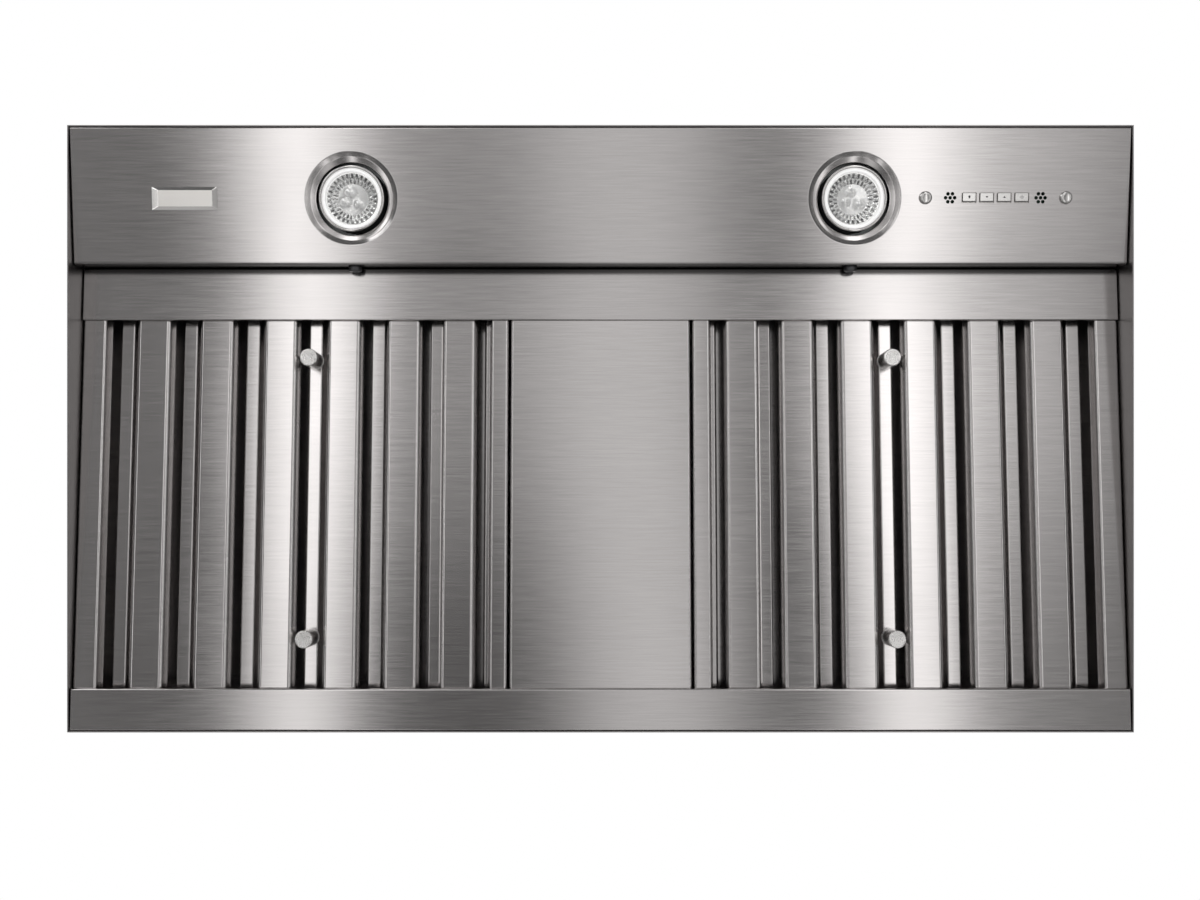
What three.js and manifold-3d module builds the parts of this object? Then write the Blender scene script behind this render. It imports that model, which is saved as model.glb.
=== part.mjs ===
// Range hood insert: a folded stainless liner with a sloped control panel, two recessed lamps,
// two sliding baffle filters, a double-inlet blower and a round duct collar with a damper.
// Millimetres. +X is the user's right, +Y points to the wall, +Z is up.
// The origin is the centre of the lower rim, where the cabinet or canopy holds the insert.
import * as THREE from 'three';
import { mergeVertices } from 'three/addons/utils/BufferGeometryUtils.js';
import Module from 'manifold-3d';

const library = await Module();
library.setup();

const degrees = Math.PI / 180;
const quarterTurn = Math.PI / 2;
const halfTurn = Math.PI;
const fullTurn = 2 * Math.PI;

// ---------------------------------------------------------------- driving sizes

// Sheet metal and fits
const sheet = 1;
const bendInside = 0.8;
const seam = 0.3;
const sideGap = 1.1;

// Liner
const shellWidth = 873;
const shellDepth = 497.2;
const shellHeight = 292;
const topFlange = 16;
const cornerFlange = 14;
const cornerFlangeStart = 64;

// Control panel
const panelDepth = 111.5;
const panelRise = 8.7;
const panelFrontFlange = 25;
const returnFlangeTop = 60;

// Lamps, measured along the panel from its front edge
const lampLine = 57.8;
const lampInset = 229.5;
const lampShift = 2;
const wellRadius = 38.5;
const wellHoleRadius = 29.75;
const wellDepth = 5;
const bezelRadius = 26.9;
const bezelWall = 1.2;
const bezelLip = 2.5;
const sleeveLength = 26;
const bulbLength = 48.5;
const bulbMouthStep = 4.2;
const bulbBaseRadius = 10;
const socketWall = 3.7;
const socketLength = 19.5;
const lensThickness = 2.4;
const bracketReach = 33;
const flangeScrewGap = 1.2;
const flangeScrewHead = 5.6;
const flangeScrewProud = 4.2;
const flangeScrewShank = 2;

// Controls
const controlLine = 57.5;
const controlInset = 109.7;
const buttonCount = 4;
const buttonPitch = 14.4;
const buttonWidth = 11.5;
const buttonDepth = 7.8;
const buttonProud = 0.8;
const buttonBevel = 0.5;
const buttonFlange = 1.1;
const buttonTravel = 1.5;
const buttonStem = 4;
const buttonClearance = 0.3;
const clusterOffset = 37.2;
const clusterSpacing = 3.7;
const clusterHole = 1.4;
const clusterRing = 6;
const controlScrewOffset = 57.6;
const controlScrewHead = 5.4;
const controlScrewDome = 2.6;
const controlScrewShank = 2;
const switchBoxDepth = 24;
const switchBoxWidth = 30;
const switchBoxWall = 1.5;
const switchBoxFlange = 10;
const switchBoxEarGap = 4;
const boardLedge = 2;
const boardHeight = 13;
const boardThickness = 1.6;
const switchSize = 6;
const soundDiscRadius = 7;
const soundDiscHeight = 3;

// Filter retainer, grease trough and centre plate
const bandDepth = 43.8;
const bandHem = 9;
const hemGap = 0.2;
const troughDepth = 32.3;
const troughRise = 1.85;
const troughBackHeight = 36;
const lipRadius = 1.75;
const lipStart = -60 * degrees;
const lipTurn = 235 * degrees;
const stopHeight = 14;
const stopGap = 0.5;
const stopFoot = 10;
const trayEndHeight = 20;
const centrePlateWidth = 150.4;
const centrePlateLeg = 26;

// Baffle filters
const filterSlope = 4.1 * degrees;
const seatGap = 0.4;
const filterEngagement = 10.7;
const releaseMargin = 1.5;
const filterEndMargin = 3;
const filterSideGap = 0.5;
const filterInnerGap = 2;
const filterThickness = 30;
const outerLip = 19.2;
const innerLip = 14.4;
const upperLip = 20;
const lowerLip = 9;
const rearLip = 12;
const baffleCount = 6;
const baffleLeg = 9;
const baffleFlare = 2.3;
const baffleBend = 1.2;
// Shares of the open width between a filter's side channels. Every baffle has the first share, and
// the slots from the outer channel to the inner one have the rest, narrower towards the middle.
const baffleShare = 27;
const slotShares = [26.5, 25.9, 26.6, 26.3, 23.1, 19.8, 13.8];
// The rear ribs' sizes in the same shares: a rib's place in its slot, its crown and its flanges.
const ribShare = 13.5;
const ribCrownShare = 11.8;
const ribFlangeShare = 21;
const ribDepth = 14;
const ribFlare = 1.3;
const ribWeldDepth = 0.3;
const knobSlot = 3;
const knobRadius = 7.25;
const knobLength = 26.8;
const knobBase = 3;
const knobGroove = 1.6;
const knobGrooveDepth = 1.2;
const knobChamfer = 0.7;
const knobFrontInset = 59;
const knobRearInset = 53;

// Duct collar and damper
const ductY = 45;
const ductRadius = 101.5;
const collarHeight = 50;
const collarFoot = 16;
const collarBead = 1.6;
const collarBeadDrop = 10;
const damperHeight = 13;
const damperLip = 6;
const flapGap = 2.2;
const flapThickness = 0.8;
const pinRadius = 2;
const pinProud = 1.5;
const knuckleWall = 1.2;
const knuckleGap = 0.4;
const knuckleCount = 4;
const knuckleInset = 6;

// Blower
const axleY = -40;
const axleZ = 184;
const wheelRadius = 76;
const bladeDepth = 14;
const bladeCount = 26;
const bladeThickness = 1;
const bladeLean = 24 * degrees;
const wheelLength = 120;
const wheelRing = 1.6;
const hubRadius = 12;
const hubLength = 25;
const shaftRadius = 4;
const shaftReach = 19;
const scrollWall = 1.2;
const wheelSideGap = 8.8;
const tongueGap = 8;
const tongueAngle = 60 * degrees;
const scrollGrowth = 44;
const inletRadius = 58;
const inletRoll = 5.5;
const outletFlange = 15;
const motorRadius = 42;
const motorLength = 70;
const motorWheelGap = 3;
const motorCrown = 6;
const mountThickness = 2;
const mountRing = 12;
const mountArm = 14;
const mountClamp = 2.5;
const mountClampLength = 11;

// Run capacitor, supply box and gland
const capacitorRadius = 20;
const capacitorLength = 70;
const capacitorEdge = 2;
const capacitorInset = 226.5;
const capacitorY = 60;
const clipWidth = 14;
const clipFoot = 13;
const boxInset = 105.5;
const boxSetback = 97.6;
const boxLength = 110;
const boxWidth = 70;
const boxHeight = 45;
const boxWall = 1.2;
const boxCoverLip = 8;
const glandRadius = 10.7;
const glandBore = 6;
const glandNut = 15;
const glandNutHeight = 5;
const glandDome = 20;
const glandStep = 3;
const glandThread = 12;

// Facets round a full turn
const smallSides = 12;
const roundSides = 16;
const lampSides = 18;
const motorSides = 20;
const ductSides = 28;

// ---------------------------------------------------------------- derived planes

const halfWidth = shellWidth / 2;
const halfDepth = shellDepth / 2;
const innerHalfWidth = halfWidth - sheet;
const innerHalfDepth = halfDepth - sheet;
const roofBottom = shellHeight - sheet;
const flangeTop = roofBottom - seam;
const trimHalfWidth = innerHalfWidth - sideGap;
const controlCentre = trimHalfWidth - controlInset;
const lampSpan = shellWidth - 2 * lampInset;
const capacitorX = halfWidth - capacitorInset;
const boxX = boxInset - innerHalfWidth;
const boxY = innerHalfDepth - boxSetback;

const panelFront = -innerHalfDepth + seam;
const panelBack = panelFront + panelDepth;
const panelTilt = Math.atan2(panelRise, panelDepth);

const troughBack = innerHalfDepth - seam;
const lipY = troughBack - troughDepth;
const lipZ = troughRise + lipRadius;

// The filters slide in a plane that clears the trough's lip and falls towards the wall.
const slideY = lipY;
const slideZ = lipZ + lipRadius + seatGap;
const slideHeight = (y) => slideZ + (slideY - y) * Math.tan(filterSlope);

const bandFront = panelBack + seam;
const bandBack = panelBack + seam + bandDepth;
const bandStopFace = bandFront + sheet;
const hemThickness = 2 * sheet + hemGap;
const bandDrop = hemThickness + seatGap;
const bandHeight = (y) => slideHeight(y) - bandDrop;
const flangeScrewHeight = bandHeight(bandFront) - flangeScrewGap - flangeScrewHead;

const filterTravel = filterEngagement + lipRadius + releaseMargin;
const filterLower = filterEngagement / Math.cos(filterSlope);
const filterUpper = (bandStopFace + filterEndMargin - slideY) / Math.cos(filterSlope) + filterTravel;
const filterOuter = innerHalfWidth - filterSideGap;
const filterInner = centrePlateWidth / 2 + filterInnerGap;

// ---------------------------------------------------------------- solids

function signedVolume(positions, triangles) {
  let six = 0;
  const corner = (i) => new THREE.Vector3().fromArray(positions, triangles[i] * 3);
  for (let i = 0; i < triangles.length; i += 3) {
    six += corner(i).dot(corner(i + 1).cross(corner(i + 2)));
  }
  return six / 6;
}

// A closed three.js geometry becomes a solid that can be joined and cut.
function solid(geometry) {
  const bare = geometry.index ? geometry.toNonIndexed() : geometry.clone();
  bare.deleteAttribute('normal');
  bare.deleteAttribute('uv');
  const merged = mergeVertices(bare, 1e-4);
  const positions = new Float32Array(merged.attributes.position.array);
  const index = merged.index.array;
  const triangles = [];
  for (let i = 0; i < index.length; i += 3) {
    const [a, b, c] = [index[i], index[i + 1], index[i + 2]];
    if (a !== b && b !== c && c !== a) triangles.push(a, b, c);
  }
  if (signedVolume(positions, triangles) < 0) triangles.reverse();
  return new library.Manifold(new library.Mesh({
    numProp: 3,
    vertProperties: positions,
    triVerts: new Uint32Array(triangles),
  }));
}

function geometryOf(form) {
  const mesh = form.getMesh();
  const geometry = new THREE.BufferGeometry();
  geometry.setAttribute('position', new THREE.BufferAttribute(mesh.vertProperties, 3));
  geometry.setIndex(new THREE.BufferAttribute(mesh.triVerts, 1));
  geometry.computeVertexNormals();
  return geometry;
}

function extrusion(outline, length, bevel = 0) {
  const shape = new THREE.Shape(outline.map(([u, v]) => new THREE.Vector2(u, v)));
  return new THREE.ExtrudeGeometry(shape, {
    depth: length - 2 * bevel,
    bevelEnabled: bevel > 0,
    bevelThickness: bevel,
    bevelSize: bevel,
    bevelOffset: -bevel,
    bevelSegments: 1,
    curveSegments: 4,
  }).translate(0, 0, bevel);
}

// Turns of an outline's (u, v, length) onto (y, z, x) and onto (x, z, -y).
const sideways = new THREE.Matrix4().set(0, 0, 1, 0, 1, 0, 0, 0, 0, 1, 0, 0, 0, 0, 0, 1);
const lengthways = new THREE.Matrix4().set(1, 0, 0, 0, 0, 0, -1, 0, 0, 1, 0, 0, 0, 0, 0, 1);

// Outlines: (y, z) swept along X, (x, z) swept along Y, (x, y) swept along Z.
function alongX(outline, from, to) {
  return solid(extrusion(outline, to - from).applyMatrix4(sideways).translate(from, 0, 0));
}

function alongY(outline, from, to) {
  return solid(extrusion(outline, to - from).applyMatrix4(lengthways).translate(0, to, 0));
}

function alongZ(outline, from, to, bevel = 0) {
  return solid(extrusion(outline, to - from, bevel).translate(0, 0, from));
}

function block([x0, x1], [y0, y1], [z0, z1]) {
  const box = new THREE.BoxGeometry(x1 - x0, y1 - y0, z1 - z0);
  return solid(box.translate((x0 + x1) / 2, (y0 + y1) / 2, (z0 + z1) / 2));
}

// Profile points are (radius, height), anticlockwise, turned about Z.
function turned(profile, sides = roundSides) {
  const points = profile.map(([r, z]) => new THREE.Vector2(r, z));
  const startsOnAxis = points[0].x === 0;
  if (!startsOnAxis) points.push(points[0].clone());
  return new THREE.LatheGeometry(points, sides).rotateX(quarterTurn);
}

const revolve = (profile, sides) => solid(turned(profile, sides));
const revolveAlongX = (profile, sides) => solid(turned(profile, sides).rotateY(quarterTurn));
const revolveAlongY = (profile, sides) => solid(turned(profile, sides).rotateX(-quarterTurn));

function cylinder(radius, from, to, sides) {
  return revolve([[0, from], [radius, from], [radius, to], [0, to]], sides);
}

function cylinderAlongX(radius, from, to, sides) {
  return revolveAlongX([[0, from], [radius, from], [radius, to], [0, to]], sides);
}

function cylinderAlongY(radius, from, to, sides) {
  return revolveAlongY([[0, from], [radius, from], [radius, to], [0, to]], sides);
}

const joined = (forms) => forms.reduce((whole, form) => whole.add(form));
const cut = (form, tools) => tools.reduce((whole, tool) => whole.subtract(tool), form);

const moved = (form, x, y, z = 0) => form.translate([x, y, z]);

// Outline of a folded sheet. The path is one face of it and the thickness lies on the path's left.
// Every inner point of the path is a bend; radii are the bends' inside radii.
function foldedSheet(path, radii = bendInside, thickness = sheet, steps = 3) {
  const near = [];
  const far = [];
  const unit = ([ax, ay], [bx, by]) => {
    const length = Math.hypot(bx - ax, by - ay);
    return [(bx - ax) / length, (by - ay) / length];
  };
  path.forEach((point, i) => {
    if (i === 0 || i === path.length - 1) {
      const [ux, uy] = i === 0 ? unit(point, path[1]) : unit(path[i - 1], point);
      near.push(point);
      far.push([point[0] - uy * thickness, point[1] + ux * thickness]);
      return;
    }
    const [ax, ay] = unit(path[i - 1], point);
    const [bx, by] = unit(point, path[i + 1]);
    const turn = Math.atan2(ax * by - ay * bx, ax * bx + ay * by);
    const side = Math.sign(turn);
    const inside = Array.isArray(radii) ? radii[i - 1] : radii;
    const nearRadius = side > 0 ? inside + thickness : inside;
    const farRadius = nearRadius - side * thickness;
    const reach = nearRadius * Math.tan(Math.abs(turn) / 2);
    const centre = [
      point[0] - ax * reach - ay * side * nearRadius,
      point[1] - ay * reach + ax * side * nearRadius,
    ];
    for (let k = 0; k <= steps; k += 1) {
      const angle = (turn * k) / steps;
      const spoke = [ay * side, -ax * side];
      const sx = spoke[0] * Math.cos(angle) - spoke[1] * Math.sin(angle);
      const sy = spoke[0] * Math.sin(angle) + spoke[1] * Math.cos(angle);
      near.push([centre[0] + sx * nearRadius, centre[1] + sy * nearRadius]);
      far.push([centre[0] + sx * farRadius, centre[1] + sy * farRadius]);
    }
  });
  return [...near, ...far.reverse()];
}

function arc(radius, from, to, steps, centre = [0, 0]) {
  return Array.from({ length: steps + 1 }, (_, k) => {
    const angle = from + ((to - from) * k) / steps;
    return [centre[0] + radius * Math.cos(angle), centre[1] + radius * Math.sin(angle)];
  });
}

function rectangle(x, y, width, depth) {
  return [
    [x - width / 2, y - depth / 2],
    [x + width / 2, y - depth / 2],
    [x + width / 2, y + depth / 2],
    [x - width / 2, y + depth / 2],
  ];
}

// ---------------------------------------------------------------- finishes

const brushed = { color: 0xb9b8b4, roughness: 0.32, metalness: 1 };
const galvanised = { color: 0xa3a7a9, roughness: 0.5, metalness: 0.9 };
const turnedSteel = { color: 0x8f8f8e, roughness: 0.22, metalness: 1 };
const satinCap = { color: 0xb2b2b0, roughness: 0.3, metalness: 1 };
const blackPlastic = { color: 0x17181a, roughness: 0.5, metalness: 0 };
const darkSteel = { color: 0x2b2c2e, roughness: 0.4, metalness: 0.8 };
const lampGlass = { color: 0xe9eef0, roughness: 0.05, metalness: 0 };
const reflector = { color: 0xd5d8da, roughness: 0.15, metalness: 0.6 };
const ceramic = { color: 0xe6e1d6, roughness: 0.6, metalness: 0 };
const circuitBoard = { color: 0x2c5a3c, roughness: 0.55, metalness: 0 };
const motorPaint = { color: 0x3a3c3f, roughness: 0.45, metalness: 0.5 };
const canPlastic = { color: 0xd9dadb, roughness: 0.5, metalness: 0 };

const hood = new THREE.Group();

function place(name, form, finish, parent = hood, position = [0, 0, 0]) {
  const geometry = form.isBufferGeometry ? form : geometryOf(form);
  const mesh = new THREE.Mesh(geometry, new THREE.MeshStandardMaterial(finish));
  mesh.name = name;
  mesh.position.set(...position);
  parent.add(mesh);
}

function frameAt(x, y, z, tilt) {
  const group = new THREE.Group();
  group.position.set(x, y, z);
  group.rotation.x = tilt;
  hood.add(group);
  return group;
}

// World (y, z) seen from a group that stands at (originY, originZ) and is tilted about X.
function localPoint(y, z, originY, originZ, tilt) {
  const dy = y - originY;
  const dz = z - originZ;
  return [dy * Math.cos(tilt) + dz * Math.sin(tilt), dz * Math.cos(tilt) - dy * Math.sin(tilt)];
}

// ---------------------------------------------------------------- liner

function sideWall() {
  const outline = foldedSheet([
    [-halfWidth + topFlange, flangeTop],
    [-halfWidth, flangeTop],
    [-halfWidth, 0],
  ]);
  return alongY(outline, -halfDepth, halfDepth);
}

// Front and back walls fit between the side walls and carry spot-weld flanges inside the corners.
function endWall() {
  const half = innerHalfWidth - seam;
  const face = foldedSheet([
    [halfDepth, 0],
    [halfDepth, flangeTop - sheet - seam],
    [halfDepth - topFlange, flangeTop - sheet - seam],
  ]);
  const flange = (side) => {
    const x = side * half;
    const edges = side > 0 ? [x - sheet, x] : [x, x + sheet];
    const inner = innerHalfDepth - cornerFlange;
    const top = flangeTop - topFlange - cornerFlange;
    return block(edges, [inner, innerHalfDepth + sheet / 2], [cornerFlangeStart, top]);
  };
  return joined([alongX(face, -half, half), flange(-1), flange(1)]);
}

function mirrored(geometry, axis) {
  const copy = geometry.clone().scale(axis === 'x' ? -1 : 1, axis === 'y' ? -1 : 1, 1);
  copy.index.array.reverse();
  return copy;
}

const leftWall = geometryOf(sideWall());
place('left_wall', leftWall, brushed);
place('right_wall', mirrored(leftWall, 'x'), brushed);
const backWall = geometryOf(endWall());
place('back_wall', backWall, brushed);
place('front_wall', mirrored(backWall, 'y'), brushed);

const roof = cut(block([-halfWidth, halfWidth], [-halfDepth, halfDepth], [roofBottom, shellHeight]), [
  moved(cylinder(ductRadius - sheet, roofBottom - sheet, shellHeight + sheet, ductSides), 0, ductY),
  moved(cylinder(glandRadius + seam, roofBottom - sheet, shellHeight + sheet), boxX, boxY),
]);
place('roof_panel', roof, galvanised);

// ---------------------------------------------------------------- control panel

const panelGroup = frameAt(0, panelFront, 0, panelTilt);
const onPanel = (y, z) => localPoint(y, z, panelFront, 0, panelTilt);
const lampPlaces = { left: lampShift - lampSpan / 2, right: lampShift + lampSpan / 2 };
const buttonPlaces = Array.from({ length: buttonCount }, (_, i) => (
  controlCentre + (i - (buttonCount - 1) / 2) * buttonPitch
));

// The pressed dish round a lamp: an S-shaped skirt from the panel's face to the hole.
function lampWell() {
  const steps = 3;
  const curve = Array.from({ length: steps + 1 }, (_, k) => {
    const t = k / steps;
    const drop = (1 - Math.cos(Math.PI * t)) / 2;
    return [wellRadius + (wellHoleRadius - wellRadius) * t, wellDepth * drop];
  });
  const below = curve.reverse();
  const rim = wellRadius + sheet;
  const above = curve.map(([r, z]) => [r, z + sheet]).reverse();
  return revolve([...below, [rim, 0], [rim, sheet], ...above], lampSides);
}

// Hole for a flange screw, in the panel's frame, with the frame's origin moved along it by setback.
function flangeScrewHole(x, setback) {
  const level = cylinderAlongY(flangeScrewShank + seam, -4 * sheet, sheet, smallSides);
  const [y, z] = onPanel(panelBack, flangeScrewHeight);
  return moved(level.rotate([-panelTilt / degrees, 0, 0]), x, y - setback, z);
}

function controlPanel() {
  const outline = foldedSheet([
    onPanel(panelFront, panelFrontFlange),
    onPanel(panelFront, 0),
    onPanel(panelBack, panelRise),
    onPanel(panelBack, returnFlangeTop),
  ]);
  const through = [-sheet, 2 * sheet];
  const holes = buttonPlaces.map((x) => alongZ(
    rectangle(x, controlLine, buttonWidth + 2 * buttonClearance, buttonDepth + 2 * buttonClearance),
    ...through,
  ));
  for (const side of [-1, 1]) {
    const x = controlCentre + side * clusterOffset;
    const ring = arc(clusterSpacing, 0, fullTurn, clusterRing, [x, controlLine]).slice(1);
    for (const [holeX, holeY] of [[x, controlLine], ...ring]) {
      holes.push(moved(cylinder(clusterHole, ...through, clusterRing), holeX, holeY));
    }
    const screwX = controlCentre + side * controlScrewOffset;
    holes.push(moved(cylinder(controlScrewShank + seam, ...through, smallSides), screwX, controlLine));
  }
  const wells = [];
  for (const x of Object.values(lampPlaces)) {
    holes.push(moved(cylinder(wellRadius + sheet / 2, ...through, lampSides), x, lampLine));
    wells.push(moved(lampWell(), x, lampLine));
    holes.push(flangeScrewHole(x, 0));
  }
  return joined([cut(alongX(outline, -trimHalfWidth, trimHalfWidth), holes), ...wells]);
}

place('control_panel', controlPanel(), brushed, panelGroup);

// ---------------------------------------------------------------- lamps

const lipThickness = bezelWall;
const bulbFront = lipThickness + seam;
const bulbRadius = bezelRadius - bezelWall - seam;
const lensRadius = bulbRadius - bulbMouthStep;
const lensCrown = 0.5;
const lensFront = bulbFront + lensCrown;
const lensBack = lensFront + lensThickness;
const bulbBack = bulbFront + bulbLength;
const neckHeight = bulbFront + bulbLength * 0.75;
const bracketHeight = sleeveLength;

function lampBezel() {
  const sleeve = bezelRadius - bezelWall;
  const lip = bezelRadius - bezelLip;
  const edge = 0.5;
  const collar = bracketHeight + sheet + seam;
  const collarRadius = bezelRadius + 4 * sheet;
  return revolve([
    [lip, edge], [lip + edge, 0], [bezelRadius - edge, 0], [bezelRadius, edge],
    [bezelRadius, collar], [collarRadius, collar], [collarRadius, collar + sheet],
    [sleeve, collar + sheet], [sleeve, lipThickness], [lip, lipThickness],
  ], lampSides);
}

// Reflector lamp: a hollow bell with a step for the front glass and a solid base.
function lampBulb() {
  const step = lensBack + seam;
  const mouth = lensRadius + seam;
  const bell = (share) => bulbFront + (neckHeight - bulbFront) * share;
  return revolve([
    [0, bell(0.9)], [bulbRadius * 0.25, bell(0.9)], [bulbRadius * 0.65, bell(0.5)],
    [mouth - sheet, step], [mouth, step], [mouth, bulbFront], [bulbRadius, bulbFront],
    [bulbRadius, bell(0.08)], [bulbRadius * 0.7, bell(0.65)],
    [bulbBaseRadius, neckHeight], [bulbBaseRadius, bulbBack], [0, bulbBack],
  ], lampSides);
}

function lampLens() {
  return revolve([
    [0, lensFront - lensCrown], [lensRadius, lensFront], [lensRadius, lensBack], [0, lensBack],
  ], lampSides);
}

function lampSocket() {
  const inner = bulbBaseRadius + seam;
  const outer = inner + socketWall;
  const rim = neckHeight + socketWall;
  const edge = socketWall / 2;
  return revolve([
    [0, bulbBack + seam], [inner, bulbBack + seam], [inner, rim], [outer, rim],
    [outer, rim + socketLength - edge], [outer - edge, rim + socketLength], [0, rim + socketLength],
  ]);
}

// Shelf that carries the sleeve, with a flange screwed to the panel's return flange.
function lampBracket() {
  const inset = seam + 2 * sheet;
  const [cornerY] = onPanel(panelBack - inset, panelRise + bracketHeight);
  const [, screwHeight] = onPanel(panelBack, flangeScrewHeight);
  const low = screwHeight - flangeScrewHead;
  const [endY, endZ] = onPanel(panelBack - inset, panelRise + low);
  const outline = foldedSheet([
    [lampLine - bracketReach, bracketHeight],
    [cornerY, bracketHeight],
    [endY, endZ],
  ]).map(([y, z]) => [y - lampLine, z]);
  const shelf = alongX(outline, -bracketReach, bracketReach);
  const hole = cylinder(bezelRadius + seam, bracketHeight - sheet, bracketHeight + 2 * sheet, lampSides);
  return cut(shelf, [hole, flangeScrewHole(0, lampLine)]);
}

function flangeScrew() {
  const tip = -4.5 * sheet;
  const edge = flangeScrewProud / 4;
  return revolveAlongY([
    [0, tip], [flangeScrewShank, tip], [flangeScrewShank, seam], [flangeScrewHead, seam],
    [flangeScrewHead, flangeScrewProud - edge], [flangeScrewHead - edge, flangeScrewProud],
    [0, flangeScrewProud],
  ], smallSides);
}

for (const [side, x] of Object.entries(lampPlaces)) {
  const at = [x, lampLine, 0];
  place(`${side}_lamp_bezel`, lampBezel(), brushed, panelGroup, at);
  place(`${side}_lamp_bulb`, lampBulb(), reflector, panelGroup, at);
  place(`${side}_lamp_lens`, lampLens(), lampGlass, panelGroup, at);
  place(`${side}_lamp_socket`, lampSocket(), ceramic, panelGroup, at);
  place(`${side}_lamp_bracket`, lampBracket(), galvanised, panelGroup, at);
  place(`${side}_flange_screw`, flangeScrew(), darkSteel, hood, [x, panelBack, flangeScrewHeight]);
}

// ---------------------------------------------------------------- controls

const flangeBottom = sheet + seam;
const stemTop = boardHeight - switchSize / 2 - buttonTravel - 2 * seam;
const boardSink = 0.5;

function pushButton() {
  const capTop = flangeBottom + buttonFlange / 2;
  const cap = alongZ(rectangle(0, 0, buttonWidth, buttonDepth), -buttonProud, capTop, buttonBevel);
  const flangeWidth = buttonWidth + 2 * buttonFlange;
  const flangeDepth = buttonDepth + 2 * buttonFlange;
  const flange = alongZ(rectangle(0, 0, flangeWidth, flangeDepth), flangeBottom, flangeBottom + buttonFlange);
  const stem = alongZ(rectangle(0, 0, buttonStem, buttonStem), flangeBottom, stemTop);
  return joined([cap, flange, stem]);
}

buttonPlaces.forEach((x, i) => {
  place(`button_${i + 1}`, pushButton(), satinCap, panelGroup, [x, controlLine, 0]);
});

const switchBoxHalf = controlScrewOffset - controlScrewShank - switchBoxEarGap;

function switchBox() {
  const bottom = flangeBottom;
  const top = bottom + switchBoxDepth;
  const y = [controlLine - switchBoxWidth / 2, controlLine + switchBoxWidth / 2];
  const half = switchBoxHalf;
  const x = [controlCentre - half, controlCentre + half];
  const shrink = ([low, high], by) => [low + by, high - by];
  const ledge = shrink(y, switchBoxWall + boardLedge);
  const ears = controlScrewOffset + switchBoxFlange / 2;
  const flange = block([controlCentre - ears, controlCentre + ears], y, [bottom, bottom + 2 * switchBoxWall]);
  const screws = [-1, 1].map((side) => moved(
    cylinder(controlScrewShank + seam, bottom - sheet, bottom + 3 * switchBoxWall, smallSides),
    controlCentre + side * controlScrewOffset,
    controlLine,
  ));
  const boardTop = boardHeight + boardThickness + seam;
  return cut(joined([block(x, y, [bottom, top]), flange]), [
    block(shrink(x, switchBoxWall), shrink(y, switchBoxWall), [bottom - sheet, boardTop]),
    block(shrink(x, switchBoxWall), ledge, [boardTop - sheet, top - switchBoxWall]),
    ...screws,
  ]);
}

// Circuit board with a tactile switch over each button and a sound disc over each perforation.
function controlBoard() {
  const fit = switchBoxWall + seam;
  const half = switchBoxHalf - fit;
  const board = block(
    [controlCentre - half, controlCentre + half],
    [controlLine - switchBoxWidth / 2 + fit, controlLine + switchBoxWidth / 2 - fit],
    [boardHeight, boardHeight + boardThickness],
  );
  const switches = buttonPlaces.map((x) => block(
    [x - switchSize / 2, x + switchSize / 2],
    [controlLine - switchSize / 2, controlLine + switchSize / 2],
    [boardHeight - switchSize / 2, boardHeight + boardSink],
  ));
  const discs = [-1, 1].map((side) => moved(
    cylinder(soundDiscRadius, boardHeight - soundDiscHeight, boardHeight + boardSink),
    controlCentre + side * clusterOffset,
    controlLine,
  ));
  return joined([board, ...switches, ...discs]);
}

// Round-headed screw that holds the switch box, with its head on the panel's face.
function controlScrew() {
  const dome = arc(1, quarterTurn, 0, 3).slice(1);
  const tip = flangeBottom + 3.5 * switchBoxWall;
  return revolve([
    [0, -seam - controlScrewDome],
    ...dome.map(([across, up]) => [controlScrewHead * across, -seam - controlScrewDome * up]),
    [controlScrewShank, -seam], [controlScrewShank, tip], [0, tip],
  ], smallSides);
}

place('switch_box', switchBox(), blackPlastic, panelGroup);
place('control_board', controlBoard(), circuitBoard, panelGroup);
for (const [side, sign] of [['left', -1], ['right', 1]]) {
  const at = [controlCentre + sign * controlScrewOffset, controlLine, 0];
  place(`${side}_control_screw`, controlScrew(), turnedSteel, panelGroup, at);
}

// ---------------------------------------------------------------- retainer, trough, centre plate

function filterRetainer() {
  const hem = [Math.sin(filterSlope) * hemThickness, Math.cos(filterSlope) * hemThickness];
  const edge = [bandBack, bandHeight(bandBack)];
  const fold = [edge[0] + hem[0], edge[1] + hem[1]];
  const back = [fold[0] - bandHem, fold[1] + bandHem * Math.tan(filterSlope)];
  const outline = foldedSheet(
    [[bandFront, returnFlangeTop], [bandFront, bandHeight(bandFront)], edge, fold, back],
    [bendInside, hemGap / 2, hemGap / 2],
  );
  return alongX(outline, -trimHalfWidth, trimHalfWidth);
}

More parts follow.
